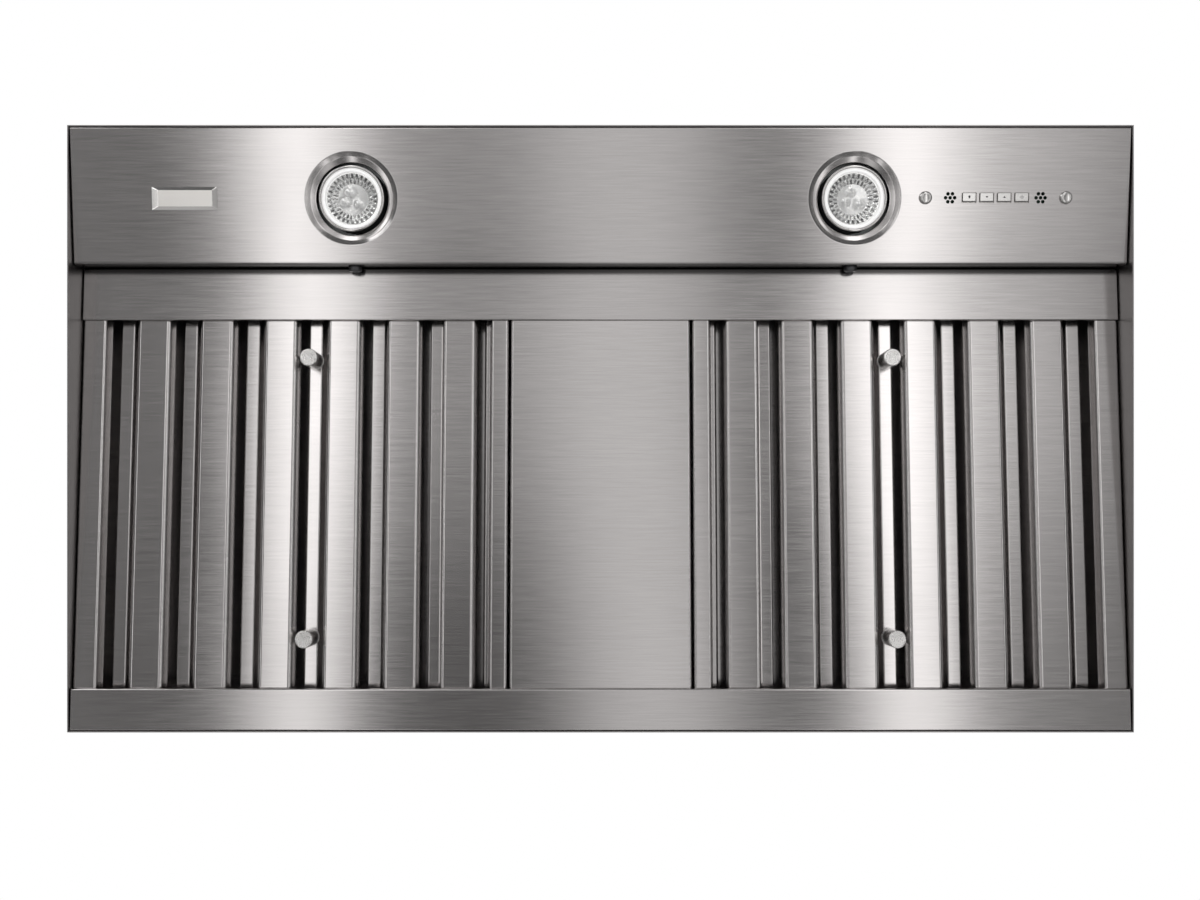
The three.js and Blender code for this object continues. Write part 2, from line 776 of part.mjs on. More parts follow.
// Gutter along the wall: bottom, back leg, rolled lip, end plates and the filters' stop angle.
function greaseTrough() {
  const slope = Math.atan2(troughRise, troughDepth);
  const bottomOutline = foldedSheet([
    [lipY, troughRise],
    [troughBack, 0],
    [troughBack, troughBackHeight],
  ]);
  const bottom = alongX(bottomOutline, -trimHalfWidth, trimHalfWidth);
  const lipEnd = lipStart - lipTurn;
  const outer = arc(lipRadius, lipStart, lipEnd, 8, [lipY, lipZ]);
  const inner = arc(lipRadius - sheet, lipEnd, lipStart, 6, [lipY, lipZ]);
  const lip = alongX([...outer, ...inner], -trimHalfWidth, trimHalfWidth);
  const weld = sheet / 5;
  const inside = (y) => Math.tan(slope) * (troughBack - y) + sheet - weld;
  const stopY = slideY + filterLower + stopGap;
  const stop = alongX(foldedSheet([
    [stopY + Math.sin(filterSlope) * stopHeight, inside(stopY) + stopHeight],
    [stopY, inside(stopY)],
    [stopY + stopFoot, inside(stopY + stopFoot)],
  ]), outerLip - trimHalfWidth, trimHalfWidth - outerLip);
  const behind = stopY + 3 * sheet;
  const endPlate = alongX([
    [lipY, lipZ - sheet], [troughBack - weld, sheet - weld], [troughBack - weld, trayEndHeight],
    [behind + sheet, trayEndHeight], [behind, lipZ], [lipY, lipZ + sheet / 2],
  ], 0, sheet);
  const ends = [-trimHalfWidth, trimHalfWidth - sheet].map((x) => moved(endPlate, x, 0));
  return joined([bottom, lip, stop, ...ends]);
}

place('filter_retainer', filterRetainer(), brushed);
place('grease_trough', greaseTrough(), brushed);

const slideGroup = () => frameAt(0, slideY, slideZ, -filterSlope);

function centrePlate() {
  const half = centrePlateWidth / 2;
  const outline = foldedSheet([
    [-half, centrePlateLeg], [-half, 0], [half, 0], [half, centrePlateLeg],
  ], baffleBend);
  const upper = (bandStopFace + seam - slideY) / Math.cos(filterSlope);
  return alongY(outline, upper, filterLower);
}

place('centre_plate', centrePlate(), brushed, slideGroup());

// ---------------------------------------------------------------- baffle filters

const openWidth = filterOuter - outerLip - filterInner - innerLip;
const shareTotal = slotShares.reduce((sum, share) => sum + share, baffleCount * baffleShare);
const oneShare = openWidth / shareTotal;
const baffleWidth = baffleShare * oneShare;
const slots = slotShares.map((share) => share * oneShare);

// Inner edges of the outer channel and of each front baffle, from the wall towards the middle.
const baffleEdges = [filterOuter - outerLip];
for (let i = 0; i < baffleCount; i += 1) {
  baffleEdges.push(baffleEdges[i] - slots[i] - baffleWidth);
}
const ribPlaces = baffleEdges.map((edge) => edge - ribShare * oneShare);
const bafflePlaces = baffleEdges.slice(1).map((edge) => edge + baffleWidth / 2);

// Frame of folded channel with the rear ribs spot-welded to its rear lips.
function filterFrame() {
  const rear = filterThickness;
  const channel = (from, to, lip, leg = []) => {
    const path = [...leg, [from + lip, 0], [from, 0], [from, rear], [from + rearLip, rear]];
    const flipped = path.map(([u, v]) => [from + to - u, v]).reverse();
    return { path, flipped };
  };
  const legged = (lip) => channel(
    filterInner,
    filterOuter,
    lip,
    [[filterInner + lip + baffleFlare, baffleLeg]],
  );
  const across = legged(innerLip).path.reverse();
  const outerSide = legged(outerLip).flipped.reverse();
  const sides = [across, outerSide].map((path) => alongY(
    foldedSheet(path, baffleBend, sheet, 2),
    filterUpper,
    filterLower,
  ));
  const endOuter = channel(filterUpper, filterLower, upperLip).path.reverse();
  const endLower = channel(filterUpper, filterLower, lowerLip).flipped.reverse();
  const ends = [endOuter, endLower].map((path) => alongX(
    foldedSheet(path, bendInside, sheet, 1),
    filterInner + sheet / 2,
    filterOuter - sheet / 2,
  ));
  const footDepth = rear - 2 * sheet + ribWeldDepth;
  const crownHalf = (ribCrownShare * oneShare) / 2;
  const flangeHalf = ribFlangeShare * oneShare;
  const legSpread = crownHalf + ribFlare;
  const crownTop = ribDepth + sheet;
  const footTop = footDepth + sheet;
  const hat = [
    [-flangeHalf, footDepth], [-legSpread, footDepth], [-crownHalf, ribDepth], [crownHalf, ribDepth],
    [legSpread, footDepth], [flangeHalf, footDepth], [flangeHalf, footTop], [legSpread - sheet, footTop],
    [crownHalf - sheet, crownTop], [sheet - crownHalf, crownTop], [sheet - legSpread, footTop],
    [-flangeHalf, footTop],
  ];
  const inside = block(
    [filterInner + sheet / 2, filterOuter - sheet / 2],
    [filterUpper + sheet / 2, filterLower - sheet / 2],
    [0, rear],
  );
  const ribs = ribPlaces.map((x) => alongY(
    hat.map(([u, v]) => [u + x, v]),
    filterUpper + rearLip / 2,
    filterLower - rearLip / 2,
  ).intersect(inside));
  return joined([...sides, ...ends, ...ribs]);
}

function frontBaffle() {
  const half = baffleWidth / 2;
  const outline = foldedSheet([
    [-half - baffleFlare, baffleLeg], [-half, 0], [half, 0], [half + baffleFlare, baffleLeg],
  ], baffleBend, sheet, 2);
  return alongY(outline, filterUpper + sheet + bendInside, filterLower - sheet - bendInside);
}

// Turned pull knob: base ring, groove, plain barrel and a chamfered face.
function filterKnob() {
  const neck = knobRadius - knobGrooveDepth;
  const foot = ribDepth - seam;
  const base = foot - knobBase;
  const groove = base - knobGroove;
  const face = ribDepth - knobLength;
  return revolve([
    [0, face], [knobRadius - knobChamfer, face], [knobRadius, face + knobChamfer], [knobRadius, groove],
    [neck, groove], [neck, base], [knobRadius, base], [knobRadius, foot], [0, foot],
  ]);
}

const frameGeometry = geometryOf(filterFrame());
const baffleGeometry = geometryOf(frontBaffle());
const knobGeometry = geometryOf(filterKnob());
const baffleDepth = sheet + seam;
const knobX = ribPlaces[knobSlot];
const knobRows = { front: filterUpper + knobFrontInset, rear: filterLower - knobRearInset };

for (const [side, sign] of [['left', -1], ['right', 1]]) {
  const group = slideGroup();
  place(`${side}_filter_frame`, sign < 0 ? mirrored(frameGeometry, 'x') : frameGeometry, brushed, group);
  bafflePlaces.forEach((x, i) => {
    place(`${side}_baffle_${i + 1}`, baffleGeometry, brushed, group, [sign * x, 0, baffleDepth]);
  });
  for (const [row, y] of Object.entries(knobRows)) {
    place(`${side}_${row}_knob`, knobGeometry, turnedSteel, group, [sign * knobX, y, 0]);
  }
}

// ---------------------------------------------------------------- duct collar and damper

const collarBase = shellHeight + seam;
const collarTop = collarBase + collarHeight;
const damperZ = collarBase + damperHeight;
const ductInner = ductRadius - sheet;
const knuckleRadius = pinRadius + seam + knuckleWall;
const pinHalf = ductRadius + pinProud;

function ductCollar() {
  const beadZ = collarTop - collarBeadDrop;
  const lipLow = damperZ - knuckleRadius - seam - sheet;
  const lipEdge = ductInner - damperLip;
  const ring = revolve([
    [ductInner, collarBase], [ductRadius + collarFoot, collarBase],
    [ductRadius + collarFoot, collarBase + sheet], [ductRadius, collarBase + sheet],
    [ductRadius, beadZ - 2 * collarBead], [ductRadius + collarBead, beadZ],
    [ductRadius, beadZ + 2 * collarBead], [ductRadius, collarTop], [ductInner, collarTop],
    [ductInner, lipLow + sheet], [lipEdge, lipLow + sheet], [lipEdge, lipLow], [ductInner, lipLow],
  ], ductSides);
  const bore = cylinderAlongX(pinRadius + seam, -2 * ductRadius, 2 * ductRadius, smallSides);
  return cut(ring, [moved(bore, 0, 0, damperZ)]);
}

// Half disc with rolled knuckles on every other stretch of the pin. Its straight edge stays clear
// of the other flap's knuckles, so both can stand nearly upright.
function damperFlap(first) {
  const radius = ductInner - flapGap;
  const edge = knuckleRadius + knuckleGap;
  const start = Math.asin(edge / radius);
  const plate = alongZ(arc(radius, start, halfTurn - start, ductSides / 2), 0, flapThickness);
  const span = 2 * (radius - knuckleInset);
  const pitch = span / knuckleCount;
  const parts = [plate];
  for (let k = first; k < knuckleCount; k += 2) {
    const from = -span / 2 + k * pitch + knuckleGap / 2;
    const to = from + pitch - knuckleGap;
    parts.push(cylinderAlongX(knuckleRadius, from, to, smallSides));
    parts.push(block([from, to], [0, 2 * edge], [0, flapThickness]));
  }
  return cut(joined(parts), [cylinderAlongX(pinRadius + seam, -radius, radius, smallSides)]);
}

place('duct_collar', ductCollar(), galvanised, hood, [0, ductY, 0]);
const damperPin = cylinderAlongX(pinRadius, -pinHalf, pinHalf, smallSides);
place('damper_pin', damperPin, turnedSteel, hood, [0, ductY, damperZ]);
place('back_damper_flap', damperFlap(0), galvanised, hood, [0, ductY, damperZ]);
const frontFlap = mirrored(geometryOf(damperFlap(1)), 'y');
place('front_damper_flap', frontFlap, galvanised, hood, [0, ductY, damperZ]);

// ---------------------------------------------------------------- blower

const scrollInnerHalf = wheelLength / 2 + wheelSideGap;
const scrollHalf = scrollInnerHalf + scrollWall;
const scrollStart = wheelRadius + tongueGap;
const scrollEnd = scrollStart + scrollGrowth;
const neckFront = scrollStart * Math.cos(tongueAngle);
const outletTop = roofBottom - seam - axleZ;

// The casing's radius grows evenly from the tongue, over the top and front, round to the outlet.
function scrollOutline(extra) {
  const steps = 15;
  return Array.from({ length: steps + 1 }, (_, k) => {
    const angle = tongueAngle + ((fullTurn - tongueAngle) * k) / steps;
    const radius = scrollStart + (scrollGrowth * k) / steps + extra;
    return [radius * Math.cos(angle), radius * Math.sin(angle)];
  });
}

// Inlet mouth: the cheek's metal rolls inwards towards the wheel.
function inletRing(side) {
  const centre = [inletRadius + inletRoll, scrollHalf - inletRoll];
  const ring = geometryOf(revolveAlongX([
    ...arc(inletRoll, quarterTurn, halfTurn, 2, centre),
    ...arc(inletRoll - scrollWall, halfTurn, quarterTurn, 2, centre),
  ]));
  return solid(side > 0 ? ring : mirrored(ring, 'x'));
}

function scrollHousing() {
  const neckBack = scrollEnd;
  const body = alongX(scrollOutline(scrollWall), -scrollHalf, scrollHalf);
  const neck = block(
    [-scrollHalf, scrollHalf],
    [neckFront - scrollWall, neckBack + scrollWall],
    [0, outletTop],
  );
  const flange = block(
    [-scrollHalf - outletFlange, scrollHalf + outletFlange],
    [neckFront - outletFlange, neckBack + outletFlange],
    [outletTop - sheet, outletTop],
  );
  const cavity = alongX(scrollOutline(0), -scrollInnerHalf, scrollInnerHalf);
  const duct = block([-scrollInnerHalf, scrollInnerHalf], [neckFront, neckBack], [0, outletTop + sheet]);
  const inlet = cylinderAlongX(inletRadius + inletRoll / 2, -2 * scrollHalf, 2 * scrollHalf);
  const casing = cut(joined([body, neck, flange]), [cavity, duct, inlet]);
  return joined([casing, inletRing(-1), inletRing(1)]);
}

// Forward-curved blade: a thin arc from the inner edge to the rim, leaning into the turn.
function bladeOutline() {
  const inner = wheelRadius - bladeDepth;
  const steps = 2;
  const line = (offset) => Array.from({ length: steps + 1 }, (_, k) => {
    const t = k / steps;
    const radius = inner + (bladeDepth - wheelRing / 2) * t;
    const angle = (bladeLean * t * t) / 2 + offset / radius;
    return [radius * Math.cos(angle), radius * Math.sin(angle)];
  });
  return [...line(-bladeThickness / 2), ...line(bladeThickness / 2).reverse()];
}

// Double-inlet wheel: end rings, blades from ring to ring, a centre disc and a hub on its shaft.
function blowerWheel() {
  const half = wheelLength / 2;
  const ring = (from) => revolveAlongX([
    [wheelRadius - bladeDepth, from], [wheelRadius, from], [wheelRadius, from + wheelRing],
    [wheelRadius - bladeDepth, from + wheelRing],
  ], bladeCount);
  const disc = cylinderAlongX(wheelRadius, -wheelRing, 0, bladeCount);
  const hub = cylinderAlongX(hubRadius, -hubLength / 2, hubLength / 2);
  const shaft = cylinderAlongX(shaftRadius, -hubLength / 2 - shaftReach, hubLength / 2, smallSides);
  const blade = bladeOutline();
  const blades = Array.from({ length: bladeCount }, (_, k) => {
    const turn = ((k + 0.5) * fullTurn) / bladeCount;
    const outline = blade.map(([u, v]) => [
      u * Math.cos(turn) - v * Math.sin(turn),
      u * Math.sin(turn) + v * Math.cos(turn),
    ]);
    return alongX(outline, -half + wheelRing / 2, half - wheelRing / 2);
  });
  return joined([ring(-half), ring(half - wheelRing), disc, hub, shaft, ...blades]);
}

const motorEnd = -hubLength / 2 - motorWheelGap;
const motorStart = motorEnd - motorLength;

function motor() {
  const bore = shaftRadius + seam;
  const crowned = motorRadius - motorCrown;
  return revolveAlongX([
    [0, motorStart], [crowned, motorStart], [motorRadius, motorStart + motorCrown],
    [motorRadius, motorEnd - motorCrown], [crowned, motorEnd], [bore, motorEnd],
    [bore, motorEnd - shaftReach], [0, motorEnd - shaftReach],
  ], motorSides);
}

// Three arms carry a clamp round the motor from a ring on the casing's left cheek.
function motorMount() {
  const cheek = -scrollHalf - seam;
  const inner = inletRadius + scrollWall + seam;
  const ring = revolveAlongX([
    [inner, cheek - mountThickness], [inner + mountRing, cheek - mountThickness],
    [inner + mountRing, cheek], [inner, cheek],
  ], motorSides);
  const clampInner = motorRadius + seam;
  const clamp = revolveAlongX([
    [clampInner, cheek - mountClampLength], [clampInner + mountClamp, cheek - mountClampLength],
    [clampInner + mountClamp, cheek], [clampInner, cheek],
  ], motorSides);
  const arms = [0, 1, 2].map((k) => {
    const arm = block(
      [cheek - mountThickness, cheek],
      [clampInner + mountClamp / 2, inner + mountRing / 2],
      [-mountArm / 2, mountArm / 2],
    );
    return arm.rotate([(quarterTurn + (k * fullTurn) / 3) / degrees, 0, 0]);
  });
  return joined([ring, clamp, ...arms]);
}

const axle = [0, axleY, axleZ];
place('scroll_housing', scrollHousing(), galvanised, hood, axle);
place('blower_wheel', blowerWheel(), galvanised, hood, axle);
place('motor', motor(), motorPaint, hood, axle);
place('motor_mount', motorMount(), darkSteel, hood, axle);

// ---------------------------------------------------------------- capacitor and supply box

function capacitorClip() {
  const half = capacitorRadius + seam + sheet;
  const height = roofBottom - seam - sheet;
  const low = height - 2 * half;
  const outline = foldedSheet(
    [
      [-half - clipFoot, height], [-half, height], [-half, low],
      [half, low], [half, height], [half + clipFoot, height],
    ],
    [bendInside, capacitorRadius, capacitorRadius, bendInside],
    sheet,
    4,
  );
  return alongX(outline, -clipWidth / 2, clipWidth / 2);
}

function capacitor() {
  const half = capacitorLength / 2;
  const flat = capacitorRadius - capacitorEdge;
  return revolveAlongX([
    [0, -half], [flat, -half], [capacitorRadius, capacitorEdge - half],
    [capacitorRadius, half - capacitorEdge], [flat, half], [0, half],
  ]);
}

const capacitorZ = roofBottom - 2 * seam - 2 * sheet - capacitorRadius;
place('capacitor', capacitor(), canPlastic, hood, [capacitorX, capacitorY, capacitorZ]);
place('capacitor_clip', capacitorClip(), galvanised, hood, [capacitorX, capacitorY, 0]);

const boxTop = roofBottom - seam;
const boxBottom = boxTop - boxHeight;

function junctionBox() {
  const outer = block(
    [-boxLength / 2, boxLength / 2], [-boxWidth / 2, boxWidth / 2], [boxBottom, boxTop],
  );
  const inner = block(
    [-boxLength / 2 + boxWall, boxLength / 2 - boxWall],
    [-boxWidth / 2 + boxWall, boxWidth / 2 - boxWall],
    [boxBottom - boxWall, boxTop - boxWall],
  );
  return cut(outer, [inner, cylinder(glandRadius + seam, boxTop - 2 * boxWall, boxTop + boxWall)]);
}

// Shallow lid whose rim stands inside the box.
function junctionCover() {
  const top = boxBottom - seam;
  const fit = boxWall + seam;
  const plate = block([-boxLength / 2, boxLength / 2], [-boxWidth / 2, boxWidth / 2], [top - boxWall, top]);
  const rim = block(
    [-boxLength / 2 + fit, boxLength / 2 - fit],
    [-boxWidth / 2 + fit, boxWidth / 2 - fit],
    [top - boxWall / 2, top + boxCoverLip],
  );
  const inside = block(
    [-boxLength / 2 + fit + boxWall, boxLength / 2 - fit - boxWall],
    [-boxWidth / 2 + fit + boxWall, boxWidth / 2 - fit - boxWall],
    [top, top + 2 * boxCoverLip],
  );
  return cut(joined([plate, rim]), [inside]);
}

function cableGland() {
  const foot = shellHeight + seam;
  const nutTop = foot + glandNutHeight;
  const top = foot + glandDome;
  const domeRadius = glandNut - glandStep;
  return revolve([
    [glandBore, boxTop - glandThread], [glandRadius, boxTop - glandThread], [glandRadius, foot],
    [glandNut, foot], [glandNut, nutTop], [domeRadius, nutTop], [domeRadius, top - glandStep],
    [glandBore + glandStep, top], [glandBore, top],
  ]);
}

place('junction_box', junctionBox(), galvanised, hood, [boxX, boxY, 0]);
place('junction_cover', junctionCover(), galvanised, hood, [boxX, boxY, 0]);
place('cable_gland', cableGland(), blackPlastic, hood, [boxX, boxY, 0]);

export default hood;
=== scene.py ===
"""Range hood insert, seen from below: fine pieces, finishes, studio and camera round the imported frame."""
import math

import bmesh
import bpy
from mathutils import Matrix, Vector


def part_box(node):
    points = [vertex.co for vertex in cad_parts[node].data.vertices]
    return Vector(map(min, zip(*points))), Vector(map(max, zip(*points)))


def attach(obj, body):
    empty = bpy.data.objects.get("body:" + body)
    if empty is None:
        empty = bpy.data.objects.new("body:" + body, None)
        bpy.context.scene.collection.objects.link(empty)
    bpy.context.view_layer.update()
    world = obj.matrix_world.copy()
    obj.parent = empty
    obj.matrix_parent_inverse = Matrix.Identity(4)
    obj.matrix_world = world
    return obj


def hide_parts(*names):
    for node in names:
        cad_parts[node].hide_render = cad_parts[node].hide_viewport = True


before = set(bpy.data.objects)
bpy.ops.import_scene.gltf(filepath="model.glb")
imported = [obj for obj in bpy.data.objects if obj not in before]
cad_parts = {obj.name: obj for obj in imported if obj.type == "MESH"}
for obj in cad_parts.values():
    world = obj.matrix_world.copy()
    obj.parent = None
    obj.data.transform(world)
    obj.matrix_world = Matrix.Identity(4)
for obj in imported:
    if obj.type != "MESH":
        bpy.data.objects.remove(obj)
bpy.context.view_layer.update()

bl_info = {
    "name": "Range hood insert",
    "version": (1, 0, 0),
    "blender": (4, 5, 0),
    "location": "View3D > Sidebar > Hood insert",
    "description": "Builds the finishes and fine pieces of a stainless range hood insert",
    "category": "Object",
}

# Sizes that the pieces share, in millimetres and as in the frame.
SHEET = 1.0
BEND = 0.8
PANEL_DEPTH, PANEL_RISE = 111.5, 8.7
CONTROL_LINE, LAMP_LINE = 57.5, 57.8
CLUSTER_OFFSET, STUD_OFFSET = 37.2, 57.6
BOWL_INNER, BOWL_OUTER = 12.3, 20.7
ON_AXIS = 1e-6

MILLIMETRE = Matrix.Scale(0.001, 4)
SIDES = {"left": -1, "right": 1}


# ---------------------------------------------------------------- settings


class HoodSizes(bpy.types.PropertyGroup):
    """Sizes of the fine pieces, in metres. They follow the frame's own sizes."""

    panel_tilt: bpy.props.FloatProperty(
        name="Panel tilt", description="Slope of the control panel, rising to the back",
        default=math.atan2(PANEL_RISE, PANEL_DEPTH), subtype="ANGLE",
    )
    filter_slope: bpy.props.FloatProperty(
        name="Filter slope", description="Slope of the filters, falling to the wall",
        default=math.radians(4.1), subtype="ANGLE",
    )
    dish_radius: bpy.props.FloatProperty(
        name="Lamp dish radius", description="Outer radius of the pressed dish round a lamp",
        default=0.0385, subtype="DISTANCE", unit="LENGTH",
    )
    dish_hole: bpy.props.FloatProperty(
        name="Dish hole radius", description="Radius of the hole in the dish that the lamp stands in",
        default=0.02975, subtype="DISTANCE", unit="LENGTH",
    )
    badge_width: bpy.props.FloatProperty(
        name="Badge plate width", description="Length of the blank bevelled plate", default=0.0538,
        subtype="DISTANCE", unit="LENGTH",
    )
    badge_depth: bpy.props.FloatProperty(
        name="Badge plate depth", description="Depth of the blank bevelled plate", default=0.0187,
        subtype="DISTANCE", unit="LENGTH",
    )
    edge_break: bpy.props.FloatProperty(
        name="Edge break", description="Rounding of the cut edges of the sheet metal", default=0.00015,
        subtype="DISTANCE", unit="LENGTH",
    )
    flute_count: bpy.props.IntProperty(
        name="Lens flutes", description="Radial flutes round the lamp's front glass", default=44, min=6,
    )


class HoodFinishes(bpy.types.PropertyGroup):
    """Colours and grain of the finishes."""

    stainless: bpy.props.FloatVectorProperty(
        name="Stainless", description="Colour of the brushed stainless sheet",
        default=(0.64, 0.62, 0.615), subtype="COLOR", min=0, max=1,
    )
    galvanised: bpy.props.FloatVectorProperty(
        name="Galvanised", description="Colour of the galvanised sheet", default=(0.60, 0.62, 0.63),
        subtype="COLOR", min=0, max=1,
    )
    turned_steel: bpy.props.FloatVectorProperty(
        name="Turned steel", description="Colour of the turned knobs, pins and screws",
        default=(0.66, 0.65, 0.64), subtype="COLOR", min=0, max=1,
    )
    stainless_roughness: bpy.props.FloatProperty(
        name="Stainless roughness", description="Mean roughness of the brushed sheet", default=0.18,
        min=0, max=1, subtype="FACTOR",
    )
    grain_contrast: bpy.props.FloatProperty(
        name="Grain contrast", description="How much the brush lines differ in colour", default=0.075,
        min=0, max=1, subtype="FACTOR",
    )
    grain_length: bpy.props.FloatProperty(
        name="Grain length", description="Length of one brush line", default=0.034, subtype="DISTANCE",
        unit="LENGTH",
    )
    grain_width: bpy.props.FloatProperty(
        name="Grain width", description="Width of one brush line", default=0.0009, subtype="DISTANCE",
        unit="LENGTH",
    )


class HoodStudio(bpy.types.PropertyGroup):
    """Floor, soft lights and camera."""

    floor_drop: bpy.props.FloatProperty(
        name="Floor drop", description="Height of the hood's lower rim above the floor", default=1.85,
        subtype="DISTANCE", unit="LENGTH",
    )
    floor_colour: bpy.props.FloatVectorProperty(
        name="Floor colour", description="Colour of the plain floor", default=(0.80, 0.80, 0.79),
        subtype="COLOR", min=0, max=1,
    )
    fill_strength: bpy.props.FloatProperty(
        name="Fill", description="Strength of the even light from all round", default=0.32, min=0,
    )
    key_radiance: bpy.props.FloatProperty(
        name="Strip brightness",
        description="Brightness of the board of strips behind the camera that the metal reflects",
        default=1.0, min=0,
    )
    board_level: bpy.props.FloatProperty(
        name="Board level", description="Brightness of that board between its strips", default=0.115,
        min=0,
    )
    side_wing_level: bpy.props.FloatProperty(
        name="Side wing level",
        description="Brightness of that board's outer parts on the left and right, which the bends reflect",
        default=1.8, min=0,
    )
    front_wing_level: bpy.props.FloatProperty(
        name="Front wing level", description="Brightness of that board's outer part before the panel",
        default=1.6, min=0,
    )
    wall_wing_level: bpy.props.FloatProperty(
        name="Wall wing level", description="Brightness of that board's outer part at the wall",
        default=0.3, min=0,
    )
    surround_level: bpy.props.FloatProperty(
        name="Surround level",
        description="Brightness of the surroundings below the hood as the metal reflects them",
        default=0.12, min=0,
    )
    sky_level: bpy.props.FloatProperty(
        name="Sky level",
        description="Brightness of the surroundings above the hood as the metal reflects them",
        default=0.6, min=0,
    )
    lens_length: bpy.props.FloatProperty(
        name="Focal length", description="Camera focal length in millimetres on a 36 mm sensor",
        default=35.85, min=1,
    )
    camera_place: bpy.props.FloatVectorProperty(
        name="Camera place",
        description="Where the camera stands, below the hood and looking straight up",
        default=(-0.0004, 0.0174, -0.978), subtype="TRANSLATION", unit="LENGTH",
    )


def sizes():
    return bpy.context.scene.hood_sizes


def finishes():
    return bpy.context.scene.hood_finishes


def studio():
    return bpy.context.scene.hood_studio


def corners_of(node):
    """Lowest and highest corner of a frame node, in millimetres."""
    return [[1000 * at for at in corner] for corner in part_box(node)]


def middle_of(node):
    """Middle of a frame node, in millimetres."""
    return [500 * (low + high) for low, high in zip(*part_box(node))]


def upright(x, y, z=0.0):
    """From millimetres round a vertical axis at (x, y, z) to the frame."""
    return MILLIMETRE @ Matrix.Translation((x, y, z))


def on_panel(x=0.0, y=0.0):
    """From millimetres about a place on the panel (across, along from its front edge, in) to the frame."""
    front = Matrix.Translation((0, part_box("control_panel")[0].y, 0))
    tilt = Matrix.Rotation(sizes().panel_tilt, 4, "X")
    return front @ tilt @ MILLIMETRE @ Matrix.Translation((x, y, 0))


def on_slide():
    """From filter millimetres (across, along from the trough's lip, in) to the frame."""
    lip = Matrix.Translation((0, 0.215, 0.00575))
    return lip @ Matrix.Rotation(-sizes().filter_slope, 4, "X") @ MILLIMETRE


def shadow_line_place():
    """Place along Y, in metres, of the painted shadow line beside the joint between the control panel and
    the filter retainer.
    """
    from_edge = 0.0015
    return round(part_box("filter_retainer")[0].y + from_edge, 5)


def control_places():
    """Middle of the controls and of each button, in millimetres across the panel."""
    return middle_of("switch_box")[0], [middle_of(f"button_{i + 1}")[0] for i in range(4)]


def lamp_places():
    """Middle of each lamp, in millimetres across the panel."""
    return {side: middle_of(f"{side}_lamp_lens")[0] for side in SIDES}


# Outlines drawn in (u, v) and run out along w: across the hood, or from front to back.
ACROSS = Matrix(((0, 0, 1, 0), (1, 0, 0, 0), (0, 1, 0, 0), (0, 0, 0, 1)))
BACKWARDS = Matrix(((1, 0, 0, 0), (0, 0, 1, 0), (0, 1, 0, 0), (0, 0, 0, 1)))


# ---------------------------------------------------------------- shapes


def arc(radius, start, end, steps, centre=(0.0, 0.0)):
    """Points on an arc, angles in degrees."""
    turns = [math.radians(start + (end - start) * k / steps) for k in range(steps + 1)]
    return [(centre[0] + radius * math.cos(t), centre[1] + radius * math.sin(t)) for t in turns]


def folded(path, inside=BEND, thickness=SHEET, steps=6):
    """Rows of (face, far face) points of a folded sheet; the thickness lies on the path's left."""
    rows = []
    last = len(path) - 1
    for i, point in enumerate(path):
        here = Vector(point)
        before = (here - Vector(path[i - 1])).normalized() if i else None
        after = (Vector(path[i + 1]) - here).normalized() if i < last else None
        if before is None or after is None:
            way = after or before
            rows.append((here, here + thickness * Vector((-way.y, way.x))))
            continue
        turn = math.atan2(before.cross(after), before.dot(after))
        side = 1 if turn > 0 else -1
        near = inside + thickness if side > 0 else inside
        far = near - side * thickness
        reach = near * math.tan(abs(turn) / 2)
        spoke = Vector((before.y, -before.x)) * side
        centre = here - before * reach - spoke * near
        for k in range(steps + 1):
            out = Matrix.Rotation(turn * k / steps, 2) @ spoke
            rows.append((centre + out * near, centre + out * far))
    return rows


def rounded_rectangle(x, y, width, depth, radius, steps=5):
    """Corner arcs of a rectangle about (x, y)."""
    points = []
    for quarter, (sx, sy) in enumerate(((1, 1), (-1, 1), (-1, -1), (1, -1))):
        centre = (x + sx * (width / 2 - radius), y + sy * (depth / 2 - radius))
        points += arc(radius, 90 * quarter, 90 * quarter + 90, steps, centre)
    return points


def hole_ring(x, y, radius, steps):
    """Points round a circle about (x, y)."""
    return [(x + dx, y + dy) for dx, dy in arc(radius, 0, 360, steps)[:-1]]


